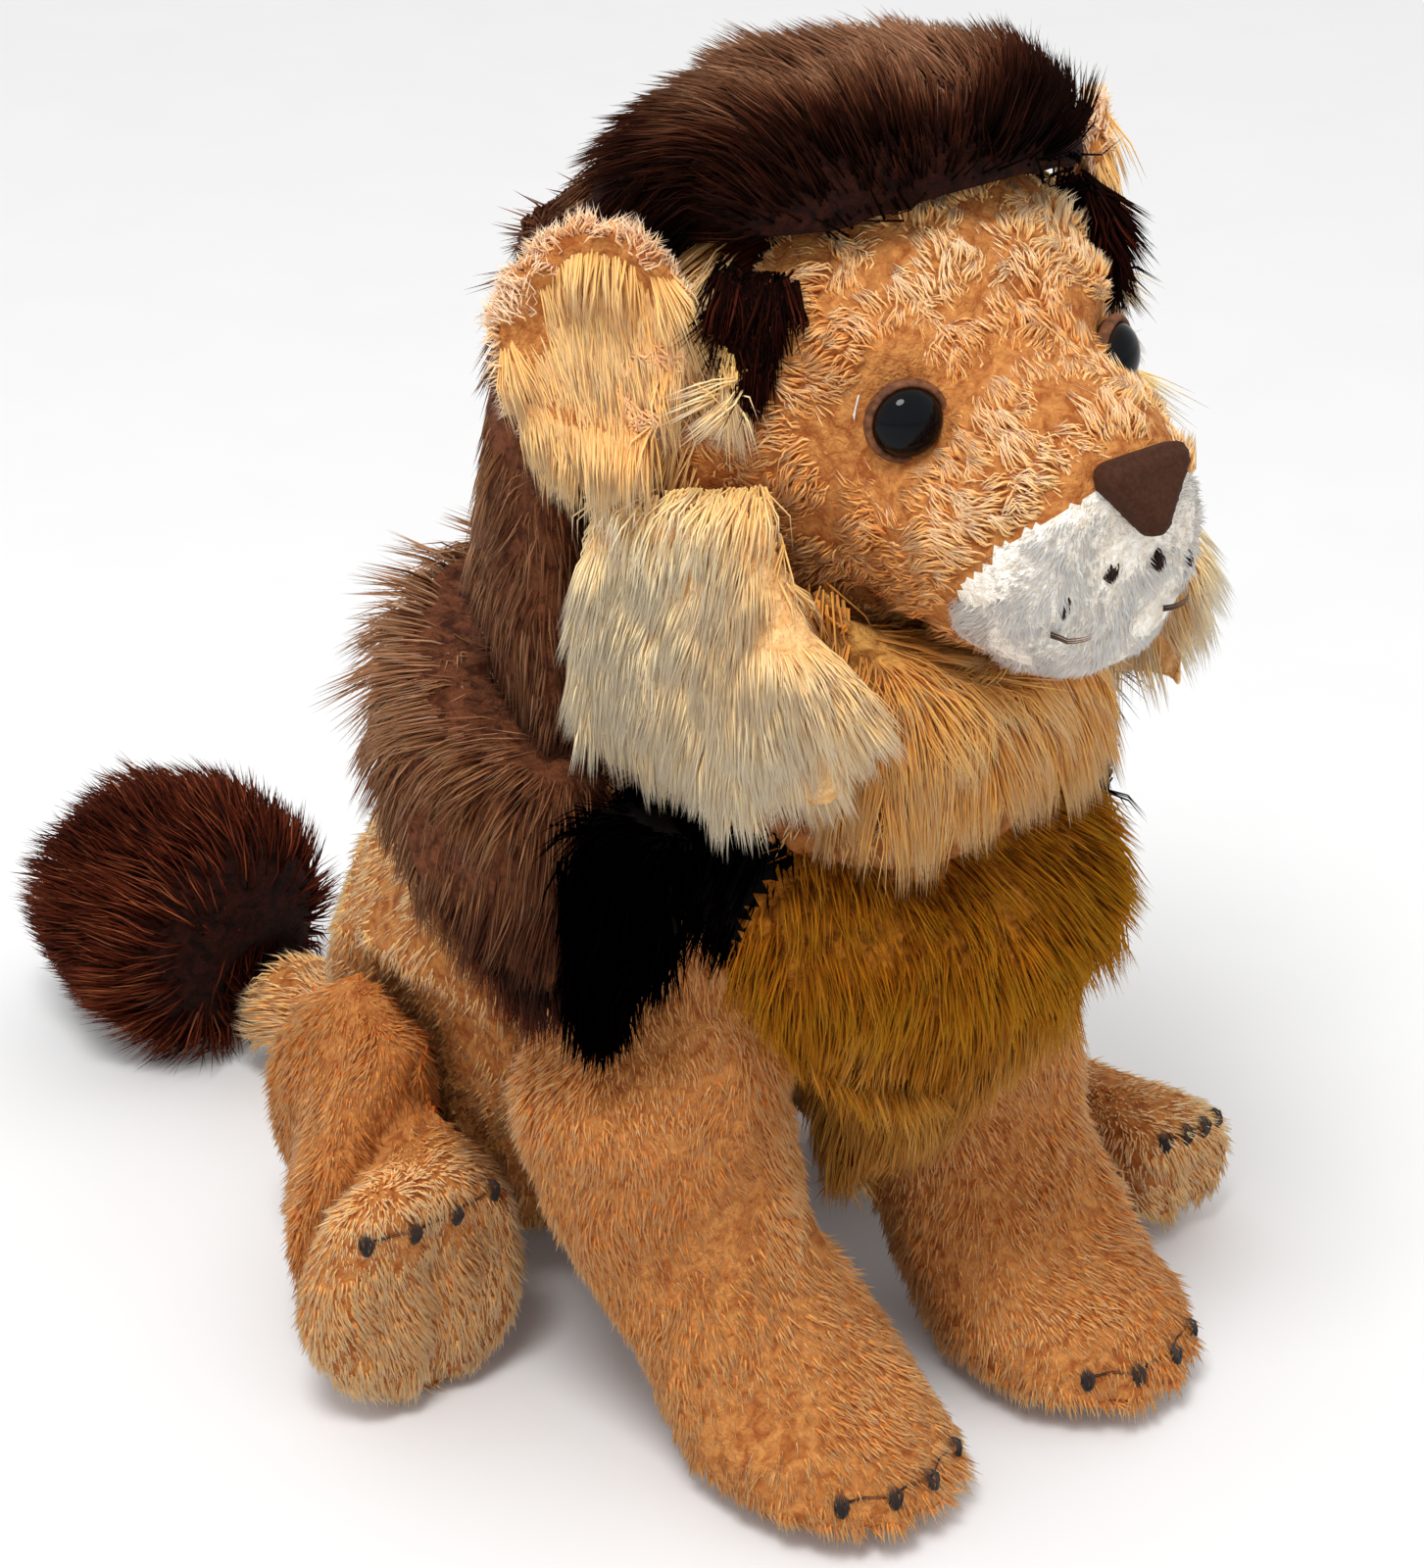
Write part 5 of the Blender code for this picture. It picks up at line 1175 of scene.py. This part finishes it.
def ruff_density(points, normals):
    """Roots that leave the tips in an arched edge, lowest half way along, and end under the
    dark hair."""
    back = smooth_step(points[:, 1], -0.092, -0.074)
    front = smooth_step(-points[:, 1], 0.096, 0.110)
    edge = RUFF_ROOT_HEIGHT + RUFF_BACK_RISE * back + RUFF_FRONT_RISE * front
    return (points[:, 2] > edge) & (under_the_crest(points) < 0)


def hairline(points):
    """The crest's middle draws back and up over the forehead."""
    middle = 1 - smooth_step(np.abs(points[:, 0]), 0.012, 0.030)
    front = smooth_step(-points[:, 1], 0.088, 0.102) * (1 - smooth_step(points[:, 2], 0.192, 0.204))
    return (UP * 0.6 + BACK) * (HAIRLINE_STEP * middle * front)[:, None]


def bib_front(points, normals):
    """The bib's ochre part, in front of the dark sides."""
    return (points[:, 1] < -0.092) | (np.abs(points[:, 0]) < 0.022) | (points[:, 2] < 0.062)


def tuft_density(points, normals):
    """The tuft behind its stem."""
    return smooth_step(points[:, 1], 0.056, 0.068)


# Styles of long pile: loose, combed smooth, and at the edge of another colour
LONG = {"depth": 0.0014, "lean": 0.9, "bend": 0.35, "droop": 0.12, "swirl": 0.25, "swirl_size": 0.022,
        "stray": 0.11, "bunch": 26, "clump": 0.30, "steps": 2, "curl": 0.02, "tone_spread": 0.12}
SMOOTH = {"lean": 1.22, "bend": 0.25, "stray": 0.07, "swirl": 0.18, "clump": 0.40, "bunch": 40,
          "tone_spread": 0.07, "patch": 0.12}
LONG_EDGE = {**LONG, "lean": 1.15}


def mane(name, node_name, body, slot, hair, backing, count, seed, comb, tone, length=0.0130,
         width=0.00046, inset=0.0026, shape=None, **changes):
    """A soft form over its solid with long pile on it. Gives the form."""
    base = stuffed(name + "_form", [node_name], body, backing, voxel=0.0035, inset=inset,
                   swell=0.0, shape=shape)
    pile(name + "_pile", base, body, slot, hair, count, length, width, comb, seed, tone=tone,
         **{**LONG, **changes})
    return base


def cheek_ruff(side_name, count, seed, outwards):
    """A cream cheek ruff whose upper end lies in the dark hair beside the crest."""
    base = mane("cheek_" + side_name, "cheek_ruff_" + side_name, "head", "cream_fur", cream_pile,
                cream_backing, count=count, length=0.0135, width=0.00042, seed=seed, comb=ruff_comb,
                tone=ruff_tone, shape=ruff_reach(outwards), density=ruff_density, **SMOOTH)
    lined_with(base, dark_backing, lambda p: under_the_crest(p) > 0)
    pile("cheek_top_%s_pile" % side_name, base, "head", "dark_brown_fur", dark_pile, count=1200,
         length=0.0120, width=0.00050, comb=even((0, 0.1, -1)), seed=72 + seed,
         density=lambda p, n: under_the_crest(p) > 0, tone=level(DARK_HAIR_TONE), **LONG_EDGE)


mane("tuft", "tail_tuft", "tail", "dark_brown_fur", dark_pile, dark_backing, count=8000,
     length=0.0120, seed=61, comb=away_from((-0.012, 0.035, 0.022), BACK * 0.8), tone=level(0.46),
     lean=1.0, stray=0.12, clump=0.25, curl=0.03, density=tuft_density)
mane("crest", "mane_crest", "head", "dark_brown_fur", crest_pile, dark_backing, count=14500,
     length=0.0115, seed=62, comb=crest_comb, tone=crest_tone, inset=0.0032, shape=hairline,
     lean=1.05, bend=0.30, droop=0.05, clump=0.25, stray=0.08, tone_spread=0.08)
mane("nape", "nape_mane", "head", "umber_fur", umber_pile, umber_backing, count=9000, seed=63,
     comb=even((0, 0.25, -1)), tone=nape_tone, lean=1.30, bend=0.2, stray=0.05)
cheek_ruff("right", count=17500, seed=64, outwards=0.004)
cheek_ruff("left", count=6500, seed=65, outwards=0.010)
mane("throat", "throat_ruff", "head", "golden_fur", golden_pile, golden_backing, count=7000,
     length=0.0170, width=0.00042, seed=66, comb=even((0, 0.0, -1)), tone=level(0.5),
     density=lambda p, n: p[:, 2] > THROAT_ROOT_HEIGHT, **{**SMOOTH, "lean": 1.15})
mane("cape", "shoulder_mane", "torso", "umber_fur", umber_pile, umber_backing, count=10500,
     seed=67, comb=away_from((0, -0.075, 0.150), DOWN * 1.2), tone=cape_tone, inset=0.0012,
     lean=1.36, bend=0.15, stray=0.05)
# The side manes are dark brown fur drawn near black, with painted shade
mane("side_right", "side_mane_right", "torso", "near_black_fur", painted_shade_brown_pile, painted_shade_brown_backing,
     count=3000, seed=68, comb=even((-0.1, 0.1, -1)), tone=level(0.5), lean=1.1)
mane("side_left", "side_mane_left", "torso", "near_black_fur", painted_shade_brown_pile, painted_shade_brown_backing,
     count=1500, seed=69, comb=even((0.1, 0.1, -1)), tone=level(0.5), lean=1.1)
bib = mane("bib", "chest_bib", "torso", "ochre_fur", ochre_pile, ochre_backing, count=10000,
           seed=70, comb=even((0, 0.25, -1)), tone=bib_tone, shape=rim_drawn_in, lean=1.18,
           stray=0.09, tone_spread=0.09, density=bib_front)
# The bib's sides are dark brown fur drawn near black: painted shade between the cape and the bib
lined_with(bib, painted_shade_brown_backing, lambda p: ~bib_front(p, p))
pile("bib_edge_pile", bib, "torso", "near_black_fur", painted_shade_brown_pile, count=1600, length=0.0120,
     width=0.00050, comb=even((0, 0.1, -1)), seed=71, density=lambda p, n: ~bib_front(p, n),
     **LONG_EDGE)

# Ears


def lining_place(middle, reach, outlook):
    """A test for the ear's hollow, its lower half and its edge beside the face."""
    inwards = np.array((-outlook[0], outlook[1], 0))

    def inside(points, normals):
        offset = (points - middle) / reach
        hollow = (offset ** 2).sum(axis=1) < 1
        beside = (points - middle) @ inwards > LINING_EDGE
        return (normals @ outlook > 0.10) & (hollow | beside | (offset[:, 2] < 0.1))
    return inside


for side, side_name in SIDES:
    outlook = np.array((side * math.sin(EAR_AIM_ANGLE), -math.cos(EAR_AIM_ANGLE), 0))
    body = side_name + "_ear"
    ear = stuffed("ear_form_" + side_name, ["ear_" + side_name], body, tan_backing,
                  voxel=0.0020, inset=0.0010, swell=0.0)
    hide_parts("ear_lining_" + side_name)
    lining = solid_points("ear_lining_" + side_name)
    middle, reach = lining.mean(axis=0), np.ptp(lining, axis=0) / 2 * 1.15
    lined = lining_place(middle, reach, outlook)
    lined_with(ear, cream_backing, lambda p: (p - middle) @ outlook > 0.001)
    pile("ear_pile_" + side_name, ear, body, "sand_plush", sand_pile, count=2800, length=0.0046,
         width=0.0005, comb=away_from(middle), seed=81 + side, density=lambda p, n: ~lined(p, n),
         swirl=1.0, swirl_size=0.006, curl=0.18, clump=0.5)
    pile("ear_lining_pile_" + side_name, ear, body, "cream_fur", cream_pile, count=3400,
         length=0.0125, width=0.00042, comb=even((-side * 0.12, -0.1, -1)), seed=84 + side,
         density=lined, tone=level(0.42), **{**LONG, **SMOOTH, "depth": 0.0006, "lean": 1.28})

# Washers and the bag, which are whole solids under the stuffing
for node_name, item in sorted(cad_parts.items()):
    if "washer" in node_name or "bag" in node_name:
        item.data.materials.clear()
        item.data.materials.append(washer_acetal if "washer" in node_name else bag_cloth)
